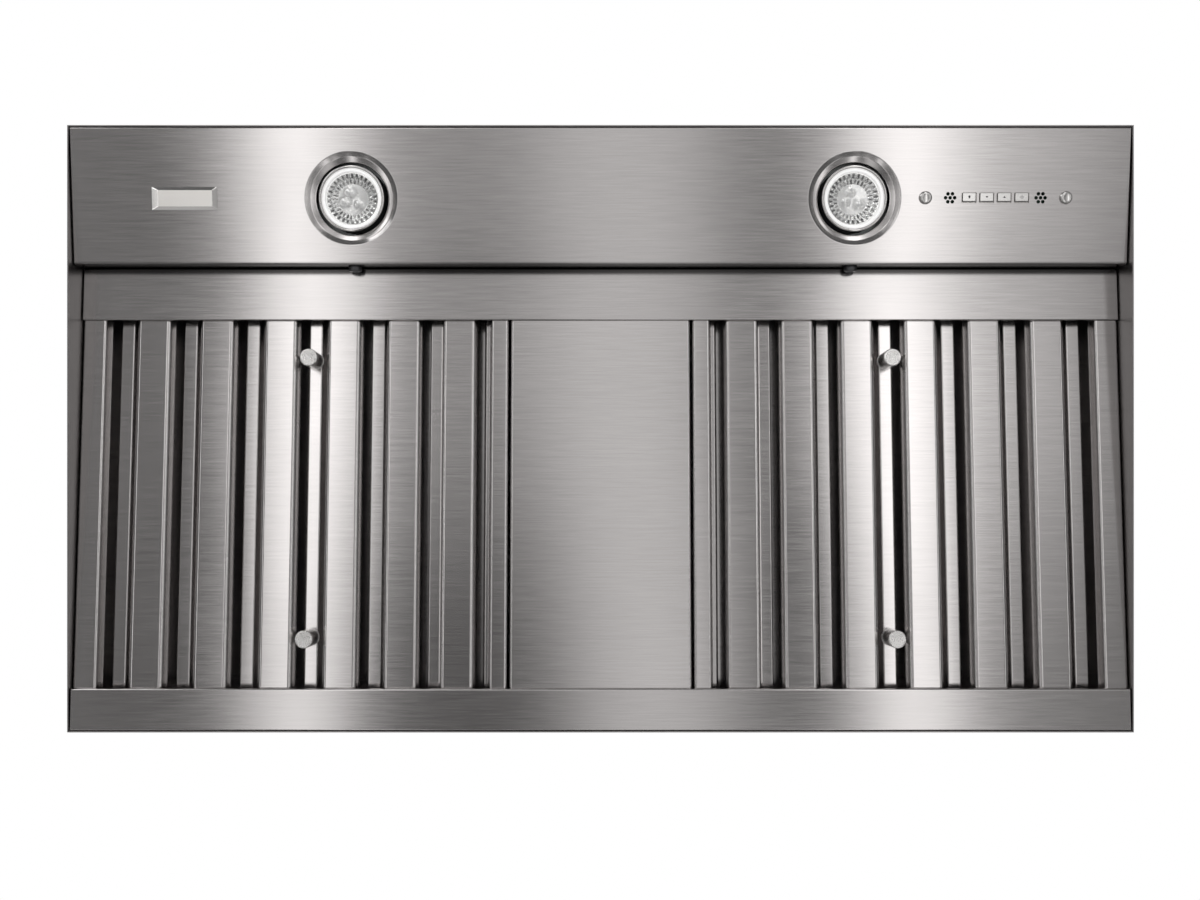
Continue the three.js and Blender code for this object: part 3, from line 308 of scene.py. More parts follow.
class Form:
    """A mesh in the making, in the frame's metres."""

    def __init__(self):
        self.mesh = bmesh.new()

    def point(self, place, *at):
        return self.mesh.verts.new(place @ Vector(at))

    def face(self, *corners):
        corners = [c for i, c in enumerate(corners) if c not in corners[:i]]
        if len(corners) > 2 and self.mesh.faces.get(corners) is None:
            self.mesh.faces.new(corners)

    def bridge(self, one, other):
        """Faces between two closed loops of as many points."""
        for i in range(len(one)):
            j = (i + 1) % len(one)
            self.face(one[i], one[j], other[j], other[i])

    def skin(self, loops):
        """Faces from each loop to the next."""
        for one, other in zip(loops, loops[1:]):
            self.bridge(one, other)

    def loop(self, place, points, height):
        return [self.point(place, x, y, height) for x, y in points]

    def fill(self, *loops):
        """Flat face between an outer loop and the holes in it."""
        edges = []
        for loop in loops:
            for i, vert in enumerate(loop):
                pair = (vert, loop[(i + 1) % len(loop)])
                edges.append(self.mesh.edges.get(pair) or self.mesh.edges.new(pair))
        bmesh.ops.triangle_fill(self.mesh, use_beauty=True, use_dissolve=False, edges=edges)

    def stack(self, place, levels):
        """Closed skin over (outline, height) levels; the outlines have as many points."""
        loops = [self.loop(place, outline, height) for outline, height in levels]
        self.skin(loops)
        self.fill(loops[0])
        self.fill(loops[-1])
        return self

    def slab(self, outline, place, low, high):
        """Straight-sided slab between two heights."""
        return self.stack(place, [(outline, low), (outline, high)])

    def sheet(self, rows, place, low, high, open_span=None):
        """Folded sheet run out from low to high. Returns the corners of a span that is left open."""
        first, second = ends = [
            [[self.point(place, *point, w) for point in row] for row in rows]
            for w in (low, high)
        ]

        def corners(i, side):
            return [first[i][side], second[i][side], second[i + 1][side], first[i + 1][side]]

        for i in range(len(rows) - 1):
            for side in (0, 1):
                if i != open_span:
                    self.face(*corners(i, side))
            for end in ends:
                self.face(end[i][0], end[i + 1][0], end[i + 1][1], end[i][1])
        for i in (0, -1):
            self.face(first[i][0], second[i][0], second[i][1], first[i][1])
        return None if open_span is None else [corners(open_span, side) for side in (0, 1)]

    def turned(self, profile, place, steps=96, closed=True, shape=None):
        """Profile of (radius, height) turned about the place's own Z."""
        rows = []
        for radius, height in profile:
            if radius < ON_AXIS:
                rows.append([self.point(place, 0, 0, height)] * steps)
                continue
            row = []
            for k in range(steps):
                angle = 2 * math.pi * k / steps
                r, z = shape(radius, height, angle) if shape else (radius, height)
                row.append(self.point(place, r * math.cos(angle), r * math.sin(angle), z))
            rows.append(row)
        self.skin(rows)
        if closed and profile[0][0] > ON_AXIS:
            self.bridge(rows[-1], rows[0])
        return self

    def piece(self, name, finish, slot, node=None, body="liner", crease=32.0, edge=False):
        """Ends the mesh as an object that rides on a body and, where a node is given, stands for it."""
        bmesh.ops.remove_doubles(self.mesh, verts=self.mesh.verts, dist=1e-7)
        loose = [v for v in self.mesh.verts if not v.link_faces]
        bmesh.ops.delete(self.mesh, geom=loose, context="VERTS")
        bmesh.ops.recalc_face_normals(self.mesh, faces=self.mesh.faces)
        data = bpy.data.meshes.new(name)
        self.mesh.to_mesh(data)
        self.mesh.free()
        data.shade_smooth()
        data.set_sharp_from_angle(angle=math.radians(crease))
        data.materials.append(finish)
        made = bpy.data.objects.new(name, data)
        bpy.context.scene.collection.objects.link(made)
        if edge:
            break_edges(made, 40.0)
        even_shading(made)
        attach(made, body)
        if node:
            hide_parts(node)


def break_edges(made, angle):
    """Rounds the cut edges of a piece."""
    edge = made.modifiers.new("edge break", "BEVEL")
    edge.width = sizes().edge_break
    edge.segments = 2
    edge.limit_method = "ANGLE"
    edge.angle_limit = math.radians(angle)
    edge.miter_outer = "MITER_ARC"


def even_shading(made):
    """Keeps flats flat next to smooth bends."""
    shading = made.modifiers.new("even shading", "WEIGHTED_NORMAL")
    shading.keep_sharp = True
    shading.weight = 90


# ---------------------------------------------------------------- nodes


class Shade:
    """A socket in a tree of nodes, with arithmetic."""

    def __init__(self, nodes, socket):
        self.nodes = nodes
        self.socket = socket

    def maths(self, operation, *values):
        return self.nodes.node("ShaderNodeMath", {"operation": operation}, dict(enumerate(values)))

    def __add__(self, other):
        return self.maths("ADD", self, other)

    __radd__ = __add__

    def __sub__(self, other):
        return self.maths("SUBTRACT", self, other)

    def __rsub__(self, other):
        return self.maths("SUBTRACT", other, self)

    def __mul__(self, other):
        return self.maths("MULTIPLY", self, other)

    __rmul__ = __mul__

    def __truediv__(self, other):
        return self.maths("DIVIDE", self, other)

    def __rtruediv__(self, other):
        return self.maths("DIVIDE", other, self)

    def wave(self):
        return self.maths("SINE", self)

    def root(self):
        return self.maths("SQRT", self)

    def size(self):
        return self.maths("ABSOLUTE", self)

    def larger(self, other):
        return self.maths("MAXIMUM", self, other)

    def rise(self, start, end):
        """Smooth step from nothing at start to one at end."""
        return self.nodes.node(
            "ShaderNodeMapRange", {"interpolation_type": "SMOOTHSTEP"},
            {"Value": self, "From Min": start, "From Max": end},
        )

    def strip(self, middle, width, steepness):
        """Soft-edged strip: one in the middle, falling to nothing on both sides."""
        away = ((self - middle) / width).size()
        return self.maths("EXPONENT", self.maths("POWER", away, steepness) * -1)


class Nodes:
    """A node tree in the making."""

    def __init__(self, tree):
        self.tree = tree
        self.tree.nodes.clear()

    def node(self, kind, settings=None, sockets=None, out=0):
        """Adds a node; settings come first, then the values or links of its sockets."""
        added = self.tree.nodes.new(kind)
        for name, value in (settings or {}).items():
            setattr(added, name, value)
        for name, value in (sockets or {}).items():
            if isinstance(value, Shade):
                self.tree.links.new(value.socket, added.inputs[name])
            else:
                added.inputs[name].default_value = value
        return Shade(self, added.outputs[out]) if added.outputs else None


def soft_bends():
    """Geometry nodes that weld a frame node's facets and smooth its bends, but not its corners."""
    same, corner = 1e-5, math.radians(50)
    tree = bpy.data.node_groups.get("soft bends")
    if tree:
        return tree
    tree = bpy.data.node_groups.new("soft bends", "GeometryNodeTree")
    for way in ("INPUT", "OUTPUT"):
        tree.interface.new_socket("Geometry", in_out=way, socket_type="NodeSocketGeometry")
    made = Nodes(tree)
    angle = {"A": made.node("GeometryNodeInputMeshEdgeAngle", out="Unsigned Angle"), "B": corner}
    steep = made.node("FunctionNodeCompare", {"data_type": "FLOAT", "operation": "GREATER_THAN"}, angle)
    steps = (
        ("GeometryNodeMergeByDistance", {}, {"Distance": same}),
        ("GeometryNodeRemoveAttribute", {}, {"Name": "custom_normal"}),
        ("GeometryNodeSetShadeSmooth", {"domain": "FACE"}, {"Shade Smooth": True}),
        ("GeometryNodeSetShadeSmooth", {"domain": "EDGE"}, {"Shade Smooth": False, "Selection": steep}),
        ("NodeGroupOutput", {}, {}),
    )
    solid = made.node("NodeGroupInput")
    for kind, settings, sockets in steps:
        solid = made.node(kind, settings, {0: solid, **sockets})
    return tree


def dress(node, finish, edge=True):
    """Gives a frame node its finish, smooth bends and broken edges."""
    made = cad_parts[node]
    made.data.materials.clear()
    made.data.materials.append(finish)
    bends = made.modifiers.new("soft bends", "NODES")
    bends.node_group = soft_bends()
    if edge:
        break_edges(made, 55.0)
    even_shading(made)


# ---------------------------------------------------------------- finishes


class Finish(Nodes):
    """The nodes of one procedural material, or of the surroundings."""

    made = {}

    def __init__(self, name, owner=None):
        self.owner = owner or bpy.data.materials.new(name)
        self.owner.use_nodes = True
        super().__init__(self.owner.node_tree)

    def place(self, kind="Object"):
        return self.node("ShaderNodeTexCoord", out=kind)

    def stretch(self, vector, by, shift=(0, 0, 0)):
        """A vector times another, and shifted."""
        return self.node("ShaderNodeVectorMath", {"operation": "MULTIPLY_ADD"}, {0: vector, 1: by, 2: shift})

    def parts(self, vector):
        """The three numbers of a vector."""
        split = self.node("ShaderNodeSeparateXYZ", sockets={0: vector}).socket.node
        return [Shade(self, split.outputs[axis]) for axis in "XYZ"]

    def about_middle(self):
        """Across, along and radius from the piece's own middle, as shares of its width."""
        x, y, _ = self.parts(self.stretch(self.place("Generated"), (1, 1, 1), (-0.5, -0.5, 0)))
        return x, y, (x * x + y * y).root()

    def noise(self, vector, scale=1.0, detail=2.0, roughness=0.5):
        sockets = {"Vector": vector, "Scale": scale, "Detail": detail, "Roughness": roughness}
        return self.node("ShaderNodeTexNoise", sockets=sockets)

    def cells(self, vector, scale, out):
        return self.node("ShaderNodeTexVoronoi", sockets={"Vector": vector, "Scale": scale}, out=out)

    def mix(self, share, *colours):
        """Two colours, blended by a share of 0 to 1."""
        one, other = ((*c, 1) if isinstance(c, tuple) else c for c in colours)
        return self.node("ShaderNodeMix", {"data_type": "RGBA"}, {"Factor": share, 6: one, 7: other}, 2)

    def surface(self, colour, roughness, relief=None, metallic=0.0, others=None):
        """Ends the nodes in one shader. Relief is a bump's height, its strength and its depth in metres."""
        sockets = {"Base Color": colour, "Roughness": roughness, "Metallic": metallic, **(others or {})}
        if relief:
            bump = dict(zip(("Height", "Strength", "Distance"), relief))
            sockets["Normal"] = self.node("ShaderNodeBump", sockets=bump)
        shader = self.node("ShaderNodeBsdfPrincipled", sockets=sockets)
        self.node("ShaderNodeOutputMaterial", sockets={"Surface": shader})
        return self.owner


def finish_once(make):
    """Each finish is made once for each set of arguments."""

    def fetch(*choice):
        key = (make.__name__, *choice)
        if key not in Finish.made:
            Finish.made[key] = make(*choice)
        return Finish.made[key]

    return fetch


def tint(colour, by):
    return tuple(min(1.0, c * by) for c in colour)


@finish_once
def brushed(grain="across", roughness_change=0.0, level=1.0, painted_shadow_line=None):
    """Brushed stainless sheet: long fine lines, faint broad bands and soft smudges.

    Where painted_shadow_line gives a place along Y, a painted shadow darkens the sheet in the few
    millimetres beside it.
    """
    with_painted_shadow = "" if painted_shadow_line is None else " seamed"
    made = Finish(f"stainless brushed {grain} {roughness_change:+.2f} {level:.2f}{with_painted_shadow}")
    look = finishes()
    long, fine = 1 / look.grain_length, 1 / look.grain_width
    lines = {"across": (long, fine, fine), "along": (fine, long, fine)}[grain]
    chance = made.node("ShaderNodeObjectInfo", out="Random")
    apart = {0: (31.0, 47.0, 23.0), "Scale": chance}
    apart = made.node("ShaderNodeVectorMath", {"operation": "SCALE"}, apart)
    spot = made.place()
    fine_lines = made.noise(made.stretch(spot, lines, apart), 1.0, 3.0, 0.65)
    bands = made.noise(made.stretch(spot, tuple(c / 3 for c in lines), apart))
    smudge = made.noise(spot, 9.0, 3.0, 0.6)
    line_share, band_share, steepness = 0.86, 0.14, 2.6
    share = (fine_lines * line_share + bands * band_share - 0.5) * steepness + 0.5
    base = tint(tuple(look.stainless), level)
    colour = made.mix(share, tint(base, 1 - look.grain_contrast), tint(base, 1 + look.grain_contrast))
    # Painted shadow: the colour falls to a third of itself next to the joint with the panel, where the
    # panel's edge shades the sheet.
    if painted_shadow_line is not None:
        _, across, _ = made.parts(spot)
        shadow_full_until, shadow_gone_from = 0.0012, 0.0050
        clear = (across - painted_shadow_line).size().rise(shadow_full_until, shadow_gone_from)
        colour = made.mix(clear, tint(base, 0.3), colour)
    rough = (
        look.stainless_roughness + roughness_change
        + (fine_lines - 0.5) * 0.10 + (smudge - 0.5) * 0.07
    )
    return made.surface(colour, rough, (fine_lines, 0.06, 0.0002), 1.0)


@finish_once
def galvanised():
    """Hot-dip galvanised sheet: pale crystals a few millimetres across, with wavering edges."""
    made = Finish("galvanised")
    base = tuple(finishes().galvanised)
    spot = made.place()
    swirl, reach = made.noise(spot, 150.0), 0.002
    waver = made.node("ShaderNodeCombineXYZ", sockets=dict.fromkeys(range(3), swirl))
    cells = made.cells(made.stretch(waver, (reach,) * 3, spot), 230.0, "Color")
    flake = made.node("ShaderNodeRGBToBW", sockets={0: cells})
    colour = made.mix(flake, tint(base, 0.92), tint(base, 1.06))
    return made.surface(colour, 0.42 + flake * 0.1, (made.noise(spot, 420.0), 0.06, 0.0004), 1.0)


@finish_once
def turned_steel(rings=0.0, roughness=0.2, level=1.0):
    """Steel turned on a lathe, with so many fine rings from one side of the piece to the other."""
    made = Finish(f"turned steel {rings:g} {roughness:g} {level:g}")
    base = tint(tuple(finishes().turned_steel), level)
    wear = made.noise(made.place(), 900.0, 3.0)
    relief, others = None, None
    if rings:
        *_, radius = made.about_middle()
        relief = (radius * (rings * math.tau)).wave(), 0.22, 0.0001
        others = {"Anisotropic": 0.75}
    colour = made.mix(wear, tint(base, 0.9), tint(base, 1.08))
    return made.surface(colour, roughness + (wear - 0.5) * 0.12, relief, 1.0, others)


@finish_once
def satin_plate():
    """Bead-blasted plate, a little warmer than the sheet."""
    made = Finish("satin plate")
    grit = made.noise(made.place(), 2600.0)
    colour = made.mix(grit, (0.90, 0.875, 0.84), (0.98, 0.955, 0.925))
    return made.surface(colour, 0.40 + (grit - 0.5) * 0.2, (grit, 0.2, 0.0002), 0.7)


# Colour, roughness and metallic share of each paint, plastic and ceramic.
PAINTS = {
    "black plastic": ((0.02, 0.02, 0.022), 0.45, 0.0),
    "button ink": ((0.05, 0.05, 0.055), 0.5, 0.0),
    "capacitor can": ((0.75, 0.76, 0.76), 0.45, 0.0),
    "ceramic": ((0.85, 0.82, 0.76), 0.6, 0.0),
    "circuit board": ((0.015, 0.06, 0.035), 0.5, 0.0),
    "dark steel": ((0.09, 0.09, 0.095), 0.32, 0.8),
    "motor paint": ((0.07, 0.075, 0.08), 0.4, 0.4),
}


@finish_once
def painted(name):
    """Paint, moulded plastic or unglazed ceramic: an even colour with a faint skin."""
    made = Finish(name)
    colour, roughness, metallic = PAINTS[name]
    spot = made.place()
    skin = made.noise(spot, 1500.0, 3.0, 0.6)
    colour = made.mix(made.noise(spot, 25.0, 3.0), tint(colour, 0.85), tint(colour, 1.15))
    return made.surface(colour, roughness + (skin - 0.5) * 0.15, (skin, 0.12, 0.0002), metallic)


@finish_once
def lamp_glass():
    """Clear pressed glass."""
    made = Finish("lamp glass")
    ripple = made.noise(made.place(), 380.0)
    clear = {"Transmission Weight": 1.0, "IOR": 1.46}
    return made.surface((0.99, 0.99, 0.985, 1), 0.01 + ripple * 0.02, (ripple, 0.03, 0.0002), others=clear)


@finish_once
def reflector_metal(roughness, flutes=0):
    """Bright vapour-coated metal with a dappled skin and, where the lamp's bowl is fluted, painted dark
    reflections in its furrows.
    """
    made = Finish(f"reflector {roughness:.2f} {flutes:d}")
    dapple = made.cells(made.place(), 420.0, "Distance")
    colour = made.mix(dapple, (0.97, 0.97, 0.96), (0.86, 0.87, 0.88))
    if flutes:
        x, y, radius = made.about_middle()
        band = BOWL_OUTER - BOWL_INNER
        share = radius * (2 * BOWL_OUTER / band) - BOWL_INNER / band
        turn = y.maths("ARCTAN2", y, x) * flutes
        # Painted dark reflections: in the furrows of the flutes the colour goes nearly black, by an uneven
        # amount.
        furrow_dark_reflection = (share * math.tau).wave() * (turn + math.pi / 2).wave()
        faintest, darkest = 0.37, 0.92
        dark_reflection_strength = made.noise(made.place(), 130.0, 1.0).rise(0.36, 0.62) * (darkest - faintest) + faintest
        colour = made.mix(furrow_dark_reflection.rise(0.02, 0.45) * dark_reflection_strength, colour, (0.03, 0.03, 0.035))
    return made.surface(colour, roughness + dapple * 0.08, (dapple, 0.12, 0.0003), 1.0)


@finish_once
def rim_enamel_with_painted_glow():
    """Bright satin rim of the lamp's glass, with a coat and a faint painted glow that adds to its
    brightness.
    """
    made = Finish("lamp rim")
    haze = made.noise(made.place(), 700.0)
    colour = made.mix(haze, (0.97, 0.97, 0.97), (0.90, 0.90, 0.91))
    # The emission is a painted glow: the lamp is not lit.
    coat_and_painted_glow = {"Coat Weight": 0.5, "Emission Color": (1.0, 0.99, 0.97, 1.0), "Emission Strength": 0.3}
    return made.surface(colour, 0.22 + haze * 0.1, metallic=0.15, others=coat_and_painted_glow)


# ---------------------------------------------------------------- operators


class HoodOperator(bpy.types.Operator):
    """Shared part of the hood's operators."""

    bl_options = {"REGISTER", "UNDO"}


def soft_light(name, place, tilt, turn, width, length, radiance, mirrored=True):
    """Rectangular soft light that the camera doesn't see, nor metal unless it is mirrored."""
    lamp = bpy.data.lights.new(name, "AREA")
    lamp.shape = "RECTANGLE"
    lamp.size = width
    lamp.size_y = length
    lamp.energy = radiance * 4 * width * length
    made = bpy.data.objects.new(name, lamp)
    made.location = place
    made.rotation_euler = math.radians(tilt), 0, math.radians(turn)
    made.visible_camera = False
    made.visible_glossy = mirrored
    bpy.context.scene.collection.objects.link(made)


def flat_stage(name, width, depth, height, material):
    """Level rectangle that isn't part of the object."""
    data = bpy.data.meshes.new(name)
    x, y = width / 2, depth / 2
    corners = [(-x, -y, height), (x, -y, height), (x, y, height), (-x, y, height)]
    data.from_pydata(corners, [], [(0, 1, 2, 3)])
    data.materials.append(material)
    made = bpy.data.objects.new(name, data)
    bpy.context.scene.collection.objects.link(made)
    return made


# Long soft strips that the metal reflects: middle, half width and level, each at the panel's end and at
# the wall's, then how steeply their edges fall.
REFLECTED_STRIPS = {
    "left key": ((-0.512, -0.512), (0.095, 0.078), (1.82, 1.50), 2),
    "left shoulder": ((-0.27, -0.27), (0.12, 0.10), (0.21, 0.0), 2),
    "centre": ((0.04, 0.09), (0.185, 0.15), (0.57, 0.62), 3),
    "right key": ((0.512, 0.530), (0.098, 0.084), (1.75, 1.58), 2),
    "right shoulder": ((0.73, 0.73), (0.17, 0.14), (0.48, 0.15), 2),
}

# Place in metres, tilt and turn in degrees, width and length in metres, brightness, and whether metal
# shows the light itself, which it does unless it says otherwise.
SOFT_LIGHTS = {
    "floor_soft_box": ((-0.2, -0.2, -1.7), 180, 0, 2.6, 2.0, 0.6, False),
    "corner_soft_box": ((-1.36, -1.32, -0.71), 112, -50, 0.9, 0.7, 1.45),
    "top_soft_box": ((0.0, -0.4, 2.6), 0, 0, 2.6, 2.6, 1.5),
    "front_soft_box": ((-1.6, -2.6, 1.1), 72, -30, 2.0, 1.4, 0.9),
    "back_soft_box": ((1.8, 2.6, 1.3), 70, 145, 2.0, 1.4, 0.7),
}


class HOOD_OT_studio(HoodOperator):
    """Floor, strip board, soft lights, white surroundings and camera"""

    bl_idname = "hood.studio"
    bl_label = "Studio"

    def execute(self, context):
        look = studio()
        self.floor(look)
        self.strip_board(look)
        for name, facts in SOFT_LIGHTS.items():
            soft_light(name, *facts)
        context.scene.world = self.surroundings(look)
        context.scene.camera = self.camera(look)
        context.scene.view_settings.view_transform = "Standard"
        return {"FINISHED"}

    def floor(self, look):
        """Plain floor, with a glow that only the camera sees."""
        made = Finish("pale floor")
        mottle = made.noise(made.place(), 3.0, 4.0)
        pale = tuple(look.floor_colour)
        colour = made.mix(mottle, tint(pale, 0.97), tint(pale, 1.02))
        seen = made.node("ShaderNodeLightPath", out="Is Camera Ray")
        glow = made.mix(seen, (0.0, 0.0, 0.0), (0.42, 0.42, 0.415))
        glow = {"Emission Color": glow, "Emission Strength": 1.0}
        finish = made.surface(colour, 0.6 + mottle * 0.1, others=glow)
        ground = flat_stage("floor", width=14, depth=14, height=-look.floor_drop, material=finish)
        ground.visible_glossy = False

    def strip_board(self, look):
        """Board of soft strips behind the camera, which only gloss and glass show."""
        made = Finish("strip board")
        x, y, _ = made.parts(made.place())
        depth = y.rise(-0.3, 0.3)
        glow = 0.0
        for *spans, steepness in REFLECTED_STRIPS.values():
            middle, width, level = (depth * (wall - front) + front for front, wall in spans)
            glow = x.strip(middle, width, steepness) * level + glow
        end_wing = (1.28, 0.24, 2)
        front_wing = (0 - y).strip(*end_wing) * x.size().strip(0.46, 0.26, 4) * look.front_wing_level
        wall_wing = y.strip(*end_wing) * look.wall_wing_level
        side_wings = x.size().strip(1.45, 0.15, 2) * look.side_wing_level
        base = (1.15 - depth * 0.3 + x.size().strip(0.95, 0.18, 2) * 0.7) * look.board_level
        glow = (glow + base) * look.key_radiance + side_wings.larger(front_wing).larger(wall_wing)
        shine = {"Color": (1, 0.99, 0.985, 1), "Strength": glow}
        shine = made.node("ShaderNodeEmission", sockets=shine)
        made.node("ShaderNodeOutputMaterial", sockets={"Surface": shine})
        card = flat_stage("strip_board", width=3.6, depth=3.2, height=-1.06, material=made.owner)
        card.visible_camera = False
        card.visible_diffuse = False
        card.visible_shadow = False

    def surroundings(self, look):
        """White to the camera, an even light on matt faces, and greyer where metal and glass show them."""
        made = Finish("white surroundings", bpy.data.worlds.new("white surroundings"))
        _, _, up = made.parts(made.place("Generated"))
        below, above = look.surround_level, look.sky_level
        mirrored = up.rise(-0.12, 0.3) * (above - below) + below
        levels = {
            "Is Camera Ray": 1.0, "Is Diffuse Ray": look.fill_strength,
            "Is Glossy Ray": mirrored, "Is Transmission Ray": mirrored,
        }
        strength = 0.0
        for ray, level in levels.items():
            strength = (made.node("ShaderNodeLightPath", out=ray) * level).larger(strength)
        shine = {"Color": (1, 1, 1, 1), "Strength": strength}
        shine = made.node("ShaderNodeBackground", sockets=shine)
        made.node("ShaderNodeOutputWorld", sockets={"Surface": shine})
        return made.owner

    def camera(self, look):
        """Camera below the hood that looks straight up."""
        lens = bpy.data.cameras.new("camera")
        lens.lens = look.lens_length
        lens.sensor_width = 36.0
        lens.clip_start = 0.01
        made = bpy.data.objects.new("camera", lens)
        made.location = look.camera_place
        made.rotation_euler = (math.pi, 0, 0)
        bpy.context.scene.collection.objects.link(made)
        return made


class HOOD_OT_liner(HoodOperator):
    """Finish of the walls, roof, retainer and centre plate"""

    bl_idname = "hood.liner"
    bl_label = "Liner"

    def execute(self, context):
        # Painted shade: the side walls at half and the front and back walls at 0.72 of the sheet's colour
        # are darker copies of the same stainless.
        for node in ("left_wall", "right_wall"):
            dress(node, brushed("along", 0.12, 0.5))
        for node in ("front_wall", "back_wall"):
            dress(node, brushed("across", 0.16, 0.72))
        # The retainer carries a painted shadow along its joint with the control panel.
        dress("filter_retainer", brushed("across", 0.0, 1.0, shadow_line_place()))
        dress("centre_plate", brushed("across", 0.0, 1.10))
        dress("roof_panel", galvanised())
        return {"FINISHED"}


class HOOD_OT_control_panel(HoodOperator):
    """Control panel with its bends, pressed lamp dishes and round holes"""

    bl_idname = "hood.control_panel"
    bl_label = "Control panel"

    def execute(self, context):
        low, high = corners_of("control_panel")
        depth, half = high[1] - low[1], high[0]
        front_flange, back_flange = 25, 60
        tilt = sizes().panel_tilt

        def lean(y, z):
            return (y * math.cos(tilt) + z * math.sin(tilt), z * math.cos(tilt) - y * math.sin(tilt))

        path = [lean(0, front_flange), lean(0, 0), lean(depth, PANEL_RISE), lean(depth, back_flange)]
        steps = 8
        place = on_panel()
        form = Form()
        loops = [form.sheet(folded(path, steps=steps), place @ ACROSS, -half, half, open_span=steps + 1)]
        for points in self.holes():
            pair = [form.loop(place, points, height) for height in (0.0, SHEET)]
            form.bridge(*pair)
            loops.append(pair)
        loops += [self.dish(form, on_panel(x, LAMP_LINE)) for x in lamp_places().values()]
        for face in zip(*loops):
            form.fill(*face)
        # The panel's sheet carries a painted shadow along its joint with the filter retainer.
        finish = brushed("across", 0.0, 1.0, shadow_line_place())
        form.piece("control_panel_sheet", finish, "stainless", "control_panel", edge=True)
        return {"FINISHED"}

    def holes(self):
        """Outlines of the button holes, the two clusters of seven and the stud holes."""
        middle, buttons = control_places()
        outlines = [rounded_rectangle(x, CONTROL_LINE, 12.1, 8.4, 0.7) for x in buttons]
        small, cluster_radius, stud = 1.4, 3.7, 2.3
        for side in SIDES.values():
            x = middle + side * CLUSTER_OFFSET
            for dx, dy in [(0, 0), *arc(cluster_radius, 0, 300, 5)]:
                outlines.append(hole_ring(x + dx, CONTROL_LINE + dy, small, 20))
            outlines.append(hole_ring(middle + side * STUD_OFFSET, CONTROL_LINE, stud, 20))
        return outlines

    def dish(self, form, place):
        """Rolled edge, cone and flat ledge of a pressed dish. Returns its outer loops."""
        outer, hole = 1000 * sizes().dish_radius, 1000 * sizes().dish_hole
        profile = (
            (outer, 0.0), (outer - 0.25, 0.03), (outer - 0.5, 0.13), (outer - 0.75, 0.31),
            (outer - 0.95, 0.48), (outer - 4.0, 2.55), (outer - 4.5, 2.83), (outer - 7.6, 4.08),
            (hole + 0.3, 4.4), (hole, 4.6),
        )
        below, above = [
            [form.loop(place, hole_ring(0, 0, radius, 96), height + lift) for radius, height in profile]
            for lift in (0.0, SHEET)
        ]
        form.skin(below)
        form.skin(above)
        form.bridge(below[-1], above[-1])
        return below[0], above[0]


class HOOD_OT_badge_plate(HoodOperator):
    """Blank bevelled plate on the left of the panel"""

    bl_idname = "hood.badge_plate"
    bl_label = "Badge plate"

    def execute(self, context):
        width, depth = 1000 * sizes().badge_width, 1000 * sizes().badge_depth
        place = on_panel(-341.9, 58.2)
        left, right, front, back = 5.4, 3.5, 2.6, 2.6

        def outline(share, radius):
            """Rectangle that has come in from the plate's edge by a share of the bevels."""
            return rounded_rectangle(
                share * (left - right) / 2, share * (front - back) / 2,
                width - share * (left + right), depth - share * (front + back), radius,
            )

        levels = (
            (0.0, 0.9, -0.02), (0.0, 0.9, -0.4), (0.03, 0.8, -0.5), (1.0, 0.4, -1.9), (1.04, 0.3, -1.95),
        )
        plate = Form().stack(place, [(outline(share, radius), z) for share, radius, z in levels])
        plate.piece("badge_plate", turned_steel(0.0, 0.08, 1.3), "stainless", crease=12)
        face = Form().slab(outline(1.06, 0.25), place, -2.0, -1.85)
        face.piece("badge_face", satin_plate(), "stainless", crease=12)
        return {"FINISHED"}


